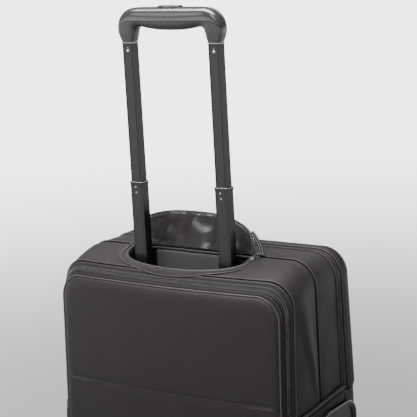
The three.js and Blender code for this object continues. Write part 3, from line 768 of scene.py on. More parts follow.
def face_grid(low, columns=97, rows=73):
    """Points of the full outline above a height: rows follow the corner arcs."""
    arc_part = TOP - TOP_CORNER * (1 - np.sin(np.linspace(0, math.pi / 2, 15)))
    heights = np.concatenate([np.linspace(low, TOP - TOP_CORNER, rows - 15, endpoint=False), arc_part])
    over = np.maximum(heights - (TOP - TOP_CORNER), 0)
    halves = HALF_WIDTH - TOP_CORNER + np.sqrt(np.maximum(TOP_CORNER ** 2 - over ** 2, 0))
    turns = np.linspace(-math.pi / 2, math.pi / 2, columns)
    across = np.sin(turns) * 0.35 + np.linspace(-1, 1, columns) * 0.65
    return halves[:, None] * across[None, :], np.repeat(heights[:, None], columns, 1)


def face_panel(name, low, edge_y, depth, roll, square, crown, rumple, ahead, proud=0.0):
    """A crowned panel; ahead is -1 for the front and 1 for the rear."""
    x, z = face_grid(low)
    inside = inside_distance(x, z, HALF_WIDTH, -0.4, TOP, TOP_CORNER)
    near = np.minimum(inside, (z - low) * 1.6 + 0.001)
    turn = np.clip(near / roll, 0, 1)
    lift = depth * (1 - (1 - turn) ** square) ** (1 / square) + crown * (1 - np.exp(-near / 0.05))
    side, top = np.interp(edge_y, STATION_Y, SIDE_INSET), np.interp(edge_y, STATION_Y, TOP_INSET)
    drop = top + 0.016 * ramp(edge_y, -0.013, -0.065)
    fade = np.clip(near / 0.02, 0, 1)
    side, drop = side - proud, drop - proud
    xf, zf = x * (1 - side / HALF_WIDTH), z - drop * (z - BOTTOM) / (TOP - BOTTOM)
    depth_at = edge_y + ahead * (lift + rumple(xf, zf) * fade)
    outer = packed(xf, depth_at, zf)
    inner = outer.copy()
    inner[..., 1] -= ahead * 0.0024
    return panel(name, outer, inner, cloth=np.stack([xf, zf], -1))


SEAM_Z = 0.159


def front_rumple(x, z):
    """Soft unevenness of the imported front, gathered along its cross seam."""
    pucker = np.exp(-((z - SEAM_Z) / 0.014) ** 2) * ripple(x, z * 0.2, 0.021, 5, 9) * 0.0009
    groove = -0.0012 * np.exp(-((z - SEAM_Z) / 0.0022) ** 2)
    return 0.0007 * ripple(x, z, 0.16, 3) + pucker + groove


def rear_rumple(x, z):
    return 0.0006 * ripple(x, z, 0.15, 11)


front_face = face_panel("front_face_panel", 0.0575, FRONT_PIPING_Y - 0.0002, 0.0052, 0.016, 2.0,
                        0.0012, front_rumple, -1)
dress(front_face, (NYLON, LINING), "front_lid", ["front_door"])
rear_face = face_panel("rear_face_panel", 0.1395, 0.0935, 0.0109, 0.012, 2.4, 0.0006, rear_rumple, 1,
                       0.0030)
dress(rear_face, (NYLON, LINING), "rear_lid", ["rear_door"])

FRONT_LOW, REAR_LOW = 0.0575, 0.1395
front_rows = [(-0.0846, -0.0008), (-0.0841, 0.0016), (-0.0832, 0.0022), (-0.0824, 0.0016),
              (-0.0818, -0.0004)]
front_gusset = band("front_gusset", front_rows, 0.0024, FRONT_LOW)
dress(front_gusset, (NYLON, LINING), "front_lid", ())
rear_rows = [(0.0802, 0.0012), (0.083, 0.0020), (0.087, 0.0023), (0.091, 0.0023), (0.0937, 0.0020)]
rear_gusset = band("rear_gusset", rear_rows, 0.0024, REAR_LOW)
dress(rear_gusset, (NYLON, LINING), "rear_lid", ())
print("front face is", [round(v * 1000) for v in front_face.dimensions], "mm")

# %% [markdown]
# ## Piping
# Every edge seam holds a cord wrapped in a bias strip. It stands proud of the cloth, takes the knocks,
# and draws the light line that shows where the panels meet; that lighter tone is partly the tape's own
# and partly painted highlight. A narrow near-black strip in each valley beside the cords is painted shade.

# %% Piped seams
FORWARD = np.array([0, -1, 0])


for name, y, rise, radius, body, low in (
        ("front_edge", -0.0877, 0.0018, 0.0017, "front_lid", FRONT_LOW),
        ("shoulder", -0.0657, 0.0010, 0.0011, CASE, None),
        ("middle", 0.0020, 0.0008, 0.0011, CASE, None),
        ("rear_seam", 0.0622, 0.0010, 0.0013, CASE, None),
        ("rear_edge", 0.0792, 0.0010, 0.0015, "rear_lid", REAR_LOW)):
    path, away = rim_line(y, rise, low)
    sewn_cord(f"piping_{name}", path, radius, away, PIPING_TAPE_AND_HIGHLIGHT, body, closed=low is None)


def painted_shade_strip(name, y, half, body, low=None):
    """A near-black strip in the valley beside a piping, as painted shade for the valley."""
    rows = [(y - half, -0.0012), (y, -0.0010), (y + half, -0.0012)]
    dress(band(name, rows, 0.0012, low), (SEAM_SHADE, SEAM_SHADE), body, ())


# Painted shade: near-black strips laid in the valleys beside the pipings.
painted_shade_strip("seam_gap_front_edge", -0.0853, 0.0010, "front_lid", FRONT_LOW)
painted_shade_strip("seam_gap_front_tape", -0.0812, 0.0008, "front_lid", FRONT_LOW)
painted_shade_strip("seam_gap_strip", -0.0711, 0.0008, CASE)
painted_shade_strip("seam_gap_shoulder", -0.0643, 0.0010, CASE)
print("five piped seams and four lined valleys")

# %% [markdown]
# ## Zips
# A zip is two tapes with half a nylon coil sewn to each. One tape belongs to the lid and the other to
# the case, so each half rides with its own side, and the teeth of one half stand between the other's.

# %% Zip tapes and coils
def zip_half(name, seam_y, side, width, body, low, phase):
    """One tape and its half of the coil; side is -1 in front of the seam and 1 behind it."""
    edge, far = seam_y + side * 0.0004, seam_y + side * width
    rows = [(edge, 0.0), ((edge + far) / 2, 0.0002), (far, 0.0)]
    tape = band(f"{name}_tape", rows, 0.0012, low)
    dress(tape, (TAPE, LINING), body, ())
    path, away = rim_line(seam_y + side * 0.0013, 0.0, low)
    coil = studs(f"{name}_coil", path, away, COIL_PITCH, (0.0012, 0.0019, 0.0016), 0, phase, 0.75)
    dress(coil, (COIL,), body, (), 60)
    stitch_path, _ = rim_line(seam_y + side * 0.0038, 0.0002, low)
    stitch_row(f"{name}_stitches", stitch_path, away, body, size=(0.0024, 0.0006, 0.0004), start=phase)


zip_half("front_zip_lid", FRONT_ZIP_Y, -1, 0.0046, "front_lid", FRONT_LOW, 0.001)
zip_half("front_zip_case", FRONT_ZIP_Y, 1, 0.0044, CASE, None, 0.0021)
zip_half("rear_zip_lid", REAR_ZIP_Y + 0.0023, 1, 0.0080, "rear_lid", REAR_LOW, 0.001)
zip_half("rear_zip_case", REAR_ZIP_Y + 0.0017, -1, 0.0055, CASE, None, 0.0021)
print("front zip is", round(float(lengths(rim_line(-0.076, 0, FRONT_LOW)[0][None], 1)[-1]), 2), "m long")

# %% [markdown]
# ## Cross seam
# A line of lock stitches crosses the front panel above the lower pocket. Each stitch is a short raised
# thread; the cloth sinks into the seam between them.

# %% Stitches on the front
FRONT_CLOTH_Y = -0.0872 - 0.0052 - 0.0012


def on_front(x, z, proud=0.0):
    """A point of the front panel's surface, some way in front of the cloth."""
    depth_at = FRONT_CLOTH_Y - front_rumple(x, z) - proud
    return packed(x, depth_at, z)


seam_x = np.linspace(-0.193, 0.193, 160)
cross_path = on_front(seam_x, np.full_like(seam_x, SEAM_Z + 0.0014), -0.0004)
cross_seam = studs("front_cross_stitches", cross_path, FORWARD, 0.0042, (0.0030, 0.0007, 0.0006), 0, 0.001)
dress(cross_seam, (THREAD,), "front_lid", (), 60)
fold_path = on_front(seam_x, np.full_like(seam_x, SEAM_Z - 0.0014), -0.0006)
sewn_cord("front_cross_fold", fold_path, 0.0010, FORWARD, PIPING_TAPE_AND_HIGHLIGHT, "front_lid", flat=0.6)
print("cross seam is", round(float(seam_x[-1] - seam_x[0]) * 1000), "mm long")

# %% [markdown]
# ## The handle well
# A half-moon mouth in the top leads to the stowed handle. Its edge is bound with ribbed tape, a zip for
# the flap runs round outside it, and a lined pouch drops to the floor plate that carries the tubes.

# %% Well mouth, its zip and its pouch
UP = np.array([0, 0, 1])


def on_top(plan, rise=0.0):
    """Points on the top cloth over a line of the floor plan."""
    return np.column_stack([plan, top_height(plan[:, 0], plan[:, 1]) + rise])


def well_line(grow, rise=0.0):
    turns = np.linspace(0.0, -math.pi, 121)
    deep = WELL["side"] - WELL["front"]
    curve = np.column_stack([(WELL["half"] + grow) * np.cos(turns),
                             WELL["side"] + (deep + grow) * np.sin(turns)])
    straight = np.linspace(WELL["rear"] + 0.004, WELL["side"], 6, endpoint=False)
    right = np.column_stack([np.full(6, WELL["half"] + grow), straight])
    return on_top(np.concatenate([right, curve, (right * [-1, 1])[::-1]]), rise)


sewn_cord("well_lip_binding", well_line(0.0006, 0.0016), 0.0030, UP, BINDING, CASE, "lining", sides=12,
          flat=0.75)


def well_tape(name, near, far, rise, finish):
    """A flat tape that lies on the top cloth round the well."""
    widths = np.linspace(near, far, 4)
    outer = np.stack([well_line(w, rise + 0.0006) for w in widths])
    inner = np.stack([well_line(w, rise - 0.0006) for w in widths])
    return dress(panel(name, outer, inner), (finish, finish), CASE, (), 50)


well_tape("well_zip_tape", 0.0030, 0.0112, 0.0020, TAPE)
for name, grow, seed in (("well_zip_coil_inner", 0.0056, 0.001), ("well_zip_coil_outer", 0.0074, 0.0021)):
    teeth = studs(name, well_line(grow, 0.0026), UP, COIL_PITCH, (0.0012, 0.0020, 0.0015), 0, seed, 0.75)
    dress(teeth, (COIL,), CASE, (), 60)
stitch_row("well_tape_stitches", well_line(0.0100, 0.0026), UP, CASE, size=(0.0024, 0.0007, 0.0005))
sewn_cord("well_tape_piping", well_line(0.0118, 0.0016), 0.0012, UP, PIPING_TAPE_AND_HIGHLIGHT, CASE)

POUCH_FLOOR = 0.2785


def pouch_line(depth, grow):
    """One level of the pouch, from the mouth (0) to the floor (1)."""
    mouth = well_line(-0.0022)
    back = np.column_stack([np.linspace(-1, 1, 41) * (WELL["half"] - 0.004), np.full(41, -0.0122)])
    back = np.column_stack([back, np.full(41, 0.3585)])[1:-1]
    loop = np.concatenate([mouth, back])
    middle = np.array([0, -0.036])
    shrink = np.array([0.985, 0.90]) - np.array([0.015, 0.05]) * depth
    plan = middle + (loop[:, :2] - middle) * shrink
    away = unit(plan - middle)
    fold = 0.0012 * depth * (1 - depth) * 4 * ripple(loop[:, 0], loop[:, 1] + depth * 0.05, 0.05, 8)
    z = loop[:, 2] * (1 - depth) + POUCH_FLOOR * depth
    return np.column_stack([plan + away * (grow + fold[:, None]), z])


levels = np.linspace(0, 1, 12)
pouch = panel("well_pouch", np.stack([pouch_line(d, 0.0) for d in levels]),
              np.stack([pouch_line(d, 0.0012) for d in levels]), wrap=True)
dress(pouch, (LINING, LINING), CASE, ())
print("pouch drops", round(float(well_line(0)[:, 2].mean() - POUCH_FLOOR) * 1000), "mm")

# %% [markdown]
# ## The flap
# The half-moon flap stands open behind the handle. It is two layers, nylon outside and satin inside,
# turned over a soft core and bound along its curved edge, which is squarer on its left. The satin
# puckers because it is cut a little larger than the nylon. At the right a short end of zip tape and
# two coils join the flap to the well.

# %% Flap layers, binding and coil
FLAP = {"y": -0.012, "z": 0.3654, "lean": math.radians(28.6), "length": 0.062, "straight": 0.012}


SQUARE = {-1: 3.0, 1: 2.1}


def flap_half_width(height, side):
    over = np.clip((height - FLAP["straight"]) / (FLAP["length"] - FLAP["straight"]), 0, 1)
    return WELL["half"] * np.maximum(1 - over ** SQUARE[side], 0) ** (1 / SQUARE[side])


def raise_flap(x, height, ahead):
    """Turns flap coordinates (across, up the flap, towards the front) into the case's."""
    s, c = math.sin(FLAP["lean"]), math.cos(FLAP["lean"])
    curl = 0.010 * (np.abs(x) / WELL["half"]) ** 9 * np.clip(height / 0.03, 0, 1)
    ahead = ahead + curl
    y, z = FLAP["y"] + height * s - ahead * c, FLAP["z"] + height * c + ahead * s
    return np.stack(np.broadcast_arrays(x, y, z), -1)


def satin_pucker(x, height):
    pulls = ripple(x, height * 0.8, 0.030, 21, 9) * 0.0034
    creases = -0.0016 * np.abs(ripple(x * 0.7, height, 0.034, 9, 6)) ** 0.5
    slow = ripple(x, height, 0.070, 4) * 0.0040
    return (pulls + creases + slow) * np.clip(height / 0.012, 0, 1)


flap_up = FLAP["length"] * np.sin(np.linspace(0.055, math.pi / 2 - 0.02, 40))
flap_u = np.sin(np.linspace(-math.pi / 2, math.pi / 2, 121)) * 0.4 + np.linspace(-1, 1, 121) * 0.6
flap_x = np.where(flap_u < 0, flap_half_width(flap_up, -1)[:, None] * flap_u,
                  flap_half_width(flap_up, 1)[:, None] * flap_u)
flap_z = np.repeat(flap_up[:, None], 121, 1)
rim_fade = np.clip((1 - np.abs(flap_u)) / 0.06, 0, 1)[None]
rim_fade = rim_fade * np.clip((FLAP["length"] - flap_z) / 0.006, 0, 1)
clear = 1 - 0.85 * np.exp(-((np.abs(flap_x) - 0.080) / 0.018) ** 4) * np.clip(flap_z / 0.02, 0, 1)
puff = 0.0008 + (0.0022 + satin_pucker(flap_x, flap_z)) * rim_fade * clear
inside_layer = raise_flap(flap_x, flap_z, puff)
outside_layer = raise_flap(flap_x, flap_z, -0.0012 - 0.0008 * rim_fade)
flap = panel("flap_layers", inside_layer, outside_layer, cloth=np.stack([flap_x, flap_z], -1))
dress(flap, (LINING, NYLON), "flap", ["handle_flap"])


def flap_edge(inset, ahead):
    """The curved edge of the flap, some way in from it, from left to right."""
    turns = np.linspace(math.pi, 0, 141)
    bend = 2 / np.where(turns > math.pi / 2, SQUARE[-1], SQUARE[1])
    x = (WELL["half"] - inset) * np.sign(np.cos(turns)) * np.abs(np.cos(turns)) ** bend
    z = FLAP["straight"] + (FLAP["length"] - FLAP["straight"] - inset) * np.abs(np.sin(turns)) ** bend
    sides = np.linspace(0.003, FLAP["straight"], 6, endpoint=False)
    left = np.column_stack([np.full(6, -(WELL["half"] - inset)), sides])
    both = np.concatenate([left, np.column_stack([x, z]), (left * [-1, 1])[::-1]])
    return raise_flap(both[:, 0], both[:, 1], ahead)


NOWHERE = np.array(0.0)
TOWARDS = raise_flap(NOWHERE, NOWHERE, np.array(1.0)) - raise_flap(NOWHERE, NOWHERE, NOWHERE)
sewn_cord("flap_binding", flap_edge(0.0004, 0.0), 0.0022, TOWARDS, BINDING, "flap", "lining", sides=10)
hem_in, hem_out = flap_edge(0.0075, 0.0014), flap_edge(0.0022, 0.0012)
hem = panel("flap_hem_band", np.stack([hem_in, (hem_in + hem_out) / 2 + TOWARDS * 0.0006, hem_out]),
            np.stack([hem_in, (hem_in + hem_out) / 2, hem_out]) - TOWARDS * 0.0014)
dress(hem, (LINING, LINING), "flap", (), 60)
stitch_row("flap_hem_stitches", flap_edge(0.0066, 0.0019), TOWARDS, "flap")
flap_teeth = studs("flap_coil", flap_edge(-0.0006, -0.0024), -TOWARDS, COIL_PITCH, (0.0012, 0.0020, 0.0012))
dress(flap_teeth, (COIL,), "flap", (), 60)
hinge_x = np.linspace(-0.113, 0.113, 60)
hinge_path = np.column_stack([hinge_x, np.full(60, -0.0128), np.full(60, 0.3634)])
sewn_cord("flap_hinge_seam", hinge_path, 0.0018, UP, PIPING_TAPE_AND_HIGHLIGHT, CASE, flat=0.8)
tail_start = raise_flap(np.array(0.105), np.array(0.036), 0.001)
tail_end = np.array([0.1265, -0.0060, 0.3668])
tail_mid = (tail_start + tail_end) / 2 + np.array([0.0045, 0.0030, 0.0040])
tail_t = np.linspace(0, 1, 40)[:, None]
tail = tail_start * (1 - tail_t) ** 2 + tail_mid * 2 * tail_t * (1 - tail_t) + tail_end * tail_t ** 2
tail_out = np.array([0.55, -0.70, 0.45])
tail_side = unit(np.cross(along_path(tail), tail_out))
for number, shift in enumerate((-0.0016, 0.0016)):
    coil = sewn_cord(f"flap_tail_coil_{number}", tail + tail_side * shift, 0.0008, tail_out, STEEL, None)
    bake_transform(coil)
tail_wide = np.stack([tail + tail_side * w for w in (-0.0034, 0.0, 0.0034)])
tail_tape = panel("flap_tail_tape", tail_wide, tail_wide - tail_out * 0.0010)
dress(tail_tape, (TAPE, TAPE), None, (), 60)
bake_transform(tail_tape)
print("flap stands", round(math.degrees(FLAP["lean"]), 1), "degrees back from upright")

# %% [markdown]
# ## Pads blown up by simulation
# The rear wall of the well and the laptop pocket are foam in a cloth cover. A cover sewn tight over
# foam bulges between its seams, and a cloth simulation with a little air pressure finds that shape.

# %% Padded pieces
def plump(name, low, high, corner, swell_cap, finish, body, stands_for, tucks=()):
    """A padded cushion in a box: remeshed, blown up with cloth pressure, capped and smoothed."""
    low, high = Vector(low), Vector(high)
    box = bmesh.new()
    bmesh.ops.create_cube(box, size=1)
    for point in box.verts:
        point.co = Vector(low[i] + (high[i] - low[i]) * (point.co[i] + 0.5) for i in range(3))
    bmesh.ops.bevel(box, geom=box.edges[:], offset=corner, segments=3, affect="EDGES")
    mesh = bpy.data.meshes.new(name)
    box.to_mesh(mesh)
    box.free()
    pad = bpy.data.objects.new(name, mesh)
    bpy.context.scene.collection.objects.link(pad)
    step = pad.modifiers.new("grid", "REMESH")
    step.mode = "VOXEL"
    step.voxel_size = min(0.005, min(high - low) / 2.2)
    bake_modifiers(pad)
    blow_up(pad, swell_cap)
    for tuck_z in tucks:
        for point in pad.data.vertices:
            sink = 0.0016 * math.exp(-((point.co.z - tuck_z) / 0.004) ** 2)
            point.co.y += sink if point.co.y < (low.y + high.y) / 2 else -sink
    smooth = pad.modifiers.new("smooth", "SUBSURF")
    smooth.levels = smooth.render_levels = 1
    bake_modifiers(pad)
    flat = np.array([v.co for v in pad.data.vertices])
    cloth_layer = pad.data.uv_layers.new(name="cloth")
    order = np.empty(len(pad.data.loops), np.int32)
    pad.data.loops.foreach_get("vertex_index", order)
    cloth_layer.data.foreach_set("uv", flat[order][:, [0, 2]].ravel())
    dress(pad, (finish,), body, stands_for, 60)
    return pad


def bake_modifiers(piece):
    bpy.context.view_layer.update()
    made = bpy.data.meshes.new_from_object(piece.evaluated_get(bpy.context.evaluated_depsgraph_get()))
    piece.modifiers.clear()
    piece.data = made


def blow_up(piece, cap):
    """Runs cloth with air pressure for 20 frames and limits how far any point moves."""
    before = np.array([v.co for v in piece.data.vertices])
    cloth = piece.modifiers.new("cloth", "CLOTH")
    cloth.settings.use_pressure = True
    cloth.settings.uniform_pressure_force = 4
    cloth.settings.effector_weights.gravity = 0
    for number in range(1, 21):
        bpy.context.scene.frame_set(number)
    bake_modifiers(piece)
    after = np.array([v.co for v in piece.data.vertices])
    move = after - before
    far = np.linalg.norm(move, axis=1, keepdims=True)
    kept = before + move * np.minimum(1, cap / np.maximum(far, 1e-9))
    piece.data.vertices.foreach_set("co", kept.ravel())
    bpy.context.scene.frame_set(1)
    print(piece.name, "swelled by up to", round(float(np.minimum(far, cap).max()) * 1000, 1), "mm")


pad_low, pad_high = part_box("well_pad")
print("well pad spans", [round(v * 1000) for v in (*pad_low, *pad_high)])
plump("well_back_pad", (pad_low.x + 0.003, pad_low.y + 0.0016, pad_low.z + 0.002),
      (pad_high.x - 0.003, pad_high.y - 0.0002, 0.3654), 0.0022, 0.0010, PAD_CLOTH_AND_LIGHT, CASE, ["well_pad"])
pad_edge_x = np.linspace(pad_low.x + 0.005, pad_high.x - 0.005, 60)
pad_edge = np.column_stack([pad_edge_x, np.full(60, pad_low.y + 0.0018), np.full(60, 0.3652)])
sewn_cord("well_pad_edge", pad_edge, 0.0016, UP, BINDING, CASE, "lining")
pocket_low, pocket_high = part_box("laptop_pocket")
plump("laptop_pocket_back", (pocket_low.x + 0.004, pocket_low.y + 0.001, pocket_low.z + 0.004),
      (pocket_high.x - 0.004, pocket_low.y + 0.0052, pocket_high.z - 0.004), 0.0019, 0.0014, LINING, CASE,
      ["laptop_pocket"], (0.14, 0.22, 0.29))
plump("laptop_pocket_front", (pocket_low.x + 0.004, pocket_high.y - 0.0062, pocket_low.z + 0.004),
      (pocket_high.x - 0.004, pocket_high.y - 0.0012, 0.238), 0.0019, 0.0014, LINING, CASE, (),
      (0.12, 0.18))

# %% [markdown]
# ## Lining pieces inside
# The boards between the compartments are covered with lining cloth cut to their CAD shapes. Sewn
# details are laid on them: three open pockets in front, and a bound mouth on the laptop pocket.

# %% Pockets and bindings
def flat_patch(name, x_range, z_range, surface_y, thickness, finish, body, sag=0.0):
    """A sewn flat pocket that leans out a little at its open top."""
    u, v = np.meshgrid(np.linspace(0, 1, 25), np.linspace(0, 1, 13))
    x = x_range[0] + (x_range[1] - x_range[0]) * u
    z = z_range[0] + (z_range[1] - z_range[0]) * v
    belly = sag * np.sin(math.pi * u) * v ** 2
    y = surface_y - thickness - belly
    outer, inner = packed(x, y, z), packed(x, y + thickness, z)
    return dress(panel(name, outer, inner), (finish, finish), body, (), 50)


wall_y = -0.0623
organiser = flat_patch("organiser_panel", (-0.168, 0.168), (0.060, 0.200), wall_y, 0.0012, LINING, CASE)
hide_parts("organiser_pocket")
pocket_spans = (-0.164, -0.062, 0.172), (-0.056, 0.020, 0.158), (0.026, 0.164, 0.180)
for number, (left, right, top) in enumerate(pocket_spans):
    flat_patch(f"organiser_pocket_{number}", (left, right), (0.064, top), wall_y - 0.0014, 0.0010, LINING,
               CASE, 0.0022)
    mouth_x = np.linspace(left, right, 25)
    belly = 0.0022 * np.sin(math.pi * np.linspace(0, 1, 25))
    mouth = packed(mouth_x, wall_y - 0.0024 - belly, np.full(25, top))
    sewn_cord(f"organiser_mouth_{number}", mouth, 0.0012, UP, BINDING, CASE, "lining")
mouth_x = np.linspace(pocket_low.x + 0.004, pocket_high.x - 0.004, 60)
mouth = np.column_stack([mouth_x, np.full(60, pocket_high.y - 0.0036), np.full(60, 0.2395)])
sewn_cord("laptop_pocket_mouth", mouth, 0.0024, UP, BINDING, CASE, "lining", flat=1.2)
print("inside pockets sewn")

# %% [markdown]
# ## Boots
# Coated cloth protects the lower sides. Each boot is a stiff panel that stands off the nylon, rounded
# along its edges, with a ribbed binding sewn over its top edge by two lines of stitches.

# %% Side boots
BOOT_FRONT, BOOT_REAR = -0.063, 0.066


def boot_top(y):
    return 0.135 + 0.012 * (y - BOOT_FRONT) / (BOOT_REAR - BOOT_FRONT)


def boot_low(y):
    return 0.0345 + 0.0235 * np.clip((BOOT_FRONT + 0.020 - y) / 0.020, 0, 1)


def side_boot(side, label):
    u, v = np.meshgrid(np.linspace(0, 1, 49), np.linspace(0, 1, 33))
    y = BOOT_FRONT + (BOOT_REAR - BOOT_FRONT) * u
    z = boot_low(y) + (boot_top(y) - boot_low(y)) * v
    near = np.minimum(np.minimum(y - BOOT_FRONT, BOOT_REAR - y),
                      np.minimum(z - boot_low(y), boot_top(y) - z))
    roll = np.sqrt(1 - (1 - np.clip(near / 0.009, 0, 1)) ** 2)
    proud = 0.2158 + 0.0052 * roll + 0.0004 * ripple(y, z, 0.06, 31)
    outer = np.stack([side * proud, y, z], -1)
    inner = np.stack([np.full_like(y, side * 0.2151), y, z], -1)
    boot = panel(f"side_boot_cloth_{label}", outer, inner, cloth=np.stack([y, z], -1))
    tools = housing_tools()
    carved(boot, *tools)
    discard(*tools)
    dress(boot, (BOOT, BOOT), CASE, [f"side_boot_{label}"])
    hem_y = np.linspace(BOOT_FRONT, BOOT_REAR + 0.001, 60)
    hem = np.column_stack([np.full(60, side * 0.2188), hem_y, boot_top(hem_y)])
    out = np.array([side, 0, 0])
    sewn_cord(f"side_boot_hem_{label}", hem, 0.0030, out, BINDING, CASE, "boot", sides=12, flat=0.9)
    for number, down in enumerate((0.0050, 0.0066)):
        line = hem - np.array([-side * 0.0018, 0, down])
        stitch_row(f"side_boot_stitches_{label}_{number}", line, out, CASE, "boot", (0.0025, 0.0006, 0.0009))


side_boot(-1, "left")
side_boot(1, "right")


def sewn_copy(node, name, finish):
    """A board's own shape with its faces divided and laid out for the weave."""
    shape = bmesh.new()
    shape.from_mesh(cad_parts[node].data)
    bmesh.ops.remove_doubles(shape, verts=shape.verts, dist=0.00001)
    for _ in range(3):
        long_edges = [e for e in shape.edges if e.calc_length() > 0.018]
        bmesh.ops.subdivide_edges(shape, edges=long_edges, cuts=1)
        bmesh.ops.triangulate(shape, faces=[f for f in shape.faces if len(f.verts) > 4])
    mesh = bpy.data.meshes.new(name)
    shape.to_mesh(mesh)
    shape.free()
    layer = mesh.uv_layers.new(name="cloth")
    for face in mesh.polygons:
        flat = max(range(3), key=lambda axis: abs(face.normal[axis]))
        pair = [axis for axis in range(3) if axis != flat]
        for corner in face.loop_indices:
            at = mesh.vertices[mesh.loops[corner].vertex_index].co
            layer.data[corner].uv = (at[pair[0]], at[pair[1]])
    piece = bpy.data.objects.new(name, mesh)
    bpy.context.scene.collection.objects.link(piece)
    return dress(piece, (finish,), CASE, [node], 30)


sewn_copy("rear_boot", "rear_boot_cloth", BOOT)
sewn_copy("front_divider", "front_divider_lining", LINING)
sewn_copy("middle_divider", "middle_divider_lining", LINING)
hem_x = np.linspace(-0.176, 0.176, 80)
rear_hem = packed(hem_x, np.full(80, 0.1040), np.full(80, 0.1335))
sewn_cord("rear_boot_hem", rear_hem, 0.0024, -FORWARD, BINDING, CASE, "boot", sides=12, flat=0.7)
stitch_row("rear_boot_stitches", rear_hem - [0, 0, 0.0060], -FORWARD, CASE, "boot", (0.0025, 0.0006, 0.0007))
print("boots stand", 6, "mm off the nylon")

# %% [markdown]
# ## Telescopic tubes
# The uprights are drawn aluminium tubes that slide one inside the next. Their section is a rectangle
# with round corners and a fine die groove beside each corner. Each is a true hollow tube, so that the
# smaller one really goes inside when the handle is pushed down.

# %% Drawn tubes
HANDLE_Y, TUBE_X = -0.032, 0.080


def tube_section(width, depth, corner, groove=0.0, steps=7):
    """Points round a rectangle with round corners, with a groove in the front and rear faces."""
    points = []
    for cx, cy, start in ((1, -1, -90), (1, 1, 0), (-1, 1, 90), (-1, -1, 180)):
        centre = (cx * (width / 2 - corner), cy * (depth / 2 - corner))
        for turn in np.radians(np.linspace(start, start + 90, steps)):
            points.append((centre[0] + corner * math.cos(turn), centre[1] + corner * math.sin(turn)))
    flat = np.array(points)
    edge = width / 2 - corner - 0.0006
    made = []
    for here, after in zip(flat, np.roll(flat, -1, 0)):
        made.append(here)
        if abs(here[1] - after[1]) < 1e-9 and abs(here[0] - after[0]) > corner:
            heading = math.copysign(1, after[0] - here[0])
            sink = here[1] - math.copysign(groove, here[1])
            for x, y in ((-edge, here[1]), (-edge + 0.0002, sink), (-edge + 0.0012, sink),
                         (-edge + 0.0014, here[1]), (edge - 0.0014, here[1]), (edge - 0.0012, sink),
                         (edge - 0.0002, sink), (edge, here[1])):
                made.append((x * heading, y))
    return np.array(made)


def hollow_tube(name, section, bore, at, levels):
    """A tube wall between an outer section and a bore with as many points, along z."""
    outer = np.stack([np.column_stack([section + at, np.full(len(section), z)]) for z in levels])
    inner = np.stack([np.column_stack([bore + at, np.full(len(bore), z)]) for z in levels])
    return panel(name, outer, inner, wrap=True)


def stage(name, width, depth, corner, low, high, body, stands_for, groove, wall):
    section = tube_section(width, depth, corner, groove)
    bore = tube_section(width - 2 * wall, depth - 2 * wall, corner - wall, 0.0)
    levels = np.linspace(low, high, 5)
    for label, side in (("left", -1), ("right", 1)):
        at = np.array([side * TUBE_X, HANDLE_Y])
        piece = hollow_tube(f"{name}_{label}", section, bore, at, levels)
        dress(piece, (TUBE, TUBE), body, [f"{stands_for}_{label}"], 30)


stage("upper_upright", 0.0206, 0.0146, 0.0012, 0.436, 0.6924, "upper_stage", "upper_tube", 0.0006, 0.0010)
stage("middle_upright", 0.0232, 0.0172, 0.0014, 0.216, 0.4697, "middle_stage", "middle_tube", 0.0004, 0.0011)
print("uprights are", [20.6, 14.6], "and", [23.2, 17.2], "mm in section")

# %% [markdown]
# ## Collars, flanges and rivets
# A collar in the colour of the tubes caps the lower tube where the upper one comes out, with a thin
# plated bead round it, and a thin plated flange sits under the grip. Two square dimples pressed into
# the lower tube hold the collar's liner, and a round rivet holds the grip's spigot.

# %% Plated trim
def ring_levels(name, outer, inner, corner, at, levels, body, stands_for, finish):
    """A plated ring; levels are (height, how much wider than its section)."""
    shapes = [tube_section(outer[0] + 2 * grow, outer[1] + 2 * grow, corner + grow) for _, grow in levels]
    rings = np.stack([np.column_stack([s + at, np.full(len(s), z)]) for s, (z, _) in zip(shapes, levels)])
    hole = tube_section(inner[0], inner[1], corner - 0.001)
    inside = np.stack([np.column_stack([hole + at, np.full(len(hole), z)]) for z, _ in levels])
    return dress(panel(name, rings, inside, wrap=True), (finish, finish), body, stands_for, 30)


def dimple(name, at_x, z, body):
    """A small square pressed mark with a raised rim."""
    half = 0.0013
    front = HANDLE_Y - 0.0086
    corner_turns = np.radians(np.arange(0, 360, 15) + 7.5)
    square = np.column_stack([np.cos(corner_turns), np.sin(corner_turns)])
    square = square / np.maximum(np.abs(square).max(1, keepdims=True), 0.86)
    rings = []
    for scale, proud in ((1.25, 0.0), (1.1, 0.00012), (0.85, 0.00012), (0.65, 0.00004), (0.02, 0.00002)):
        rings.append(np.column_stack([at_x + square[:, 0] * half * scale, np.full(24, front - proud),
                                      z + square[:, 1] * half * scale]))
    backs = [np.column_stack([ring[:, 0], np.full(24, front + 0.0004), ring[:, 2]]) for ring in rings]
    mark = panel(name, np.stack(rings), np.stack(backs), wrap=True)
    return dress(mark, (TRIM, TRIM), body, (), 40)


def lathe(name, profile, centre, axis, count=64):
    """Turns a profile of (radius, along) about an axis; the profile's ends meet, so it is closed."""
    turns = np.linspace(0, 2 * math.pi, count, endpoint=False)
    rows = len(profile)
    order = {"x": (2, 0, 1), "y": (0, 2, 1), "z": (0, 1, 2)}[axis]
    rings = []
    for radius, along in profile:
        ring = np.column_stack([radius * np.cos(turns), radius * np.sin(turns), np.full(count, along)])
        rings.append(ring[:, order] + centre)
    faces = [(r * count + c, r * count + (c + 1) % count, ((r + 1) % rows) * count + (c + 1) % count,
              ((r + 1) % rows) * count + c) for r in range(rows) for c in range(count)]
    cloth = np.stack(np.meshgrid(np.arange(rows) * 0.002, turns * 0.03, indexing="ij"), -1)
    return piece_from(name, np.concatenate(rings), faces, cloth)


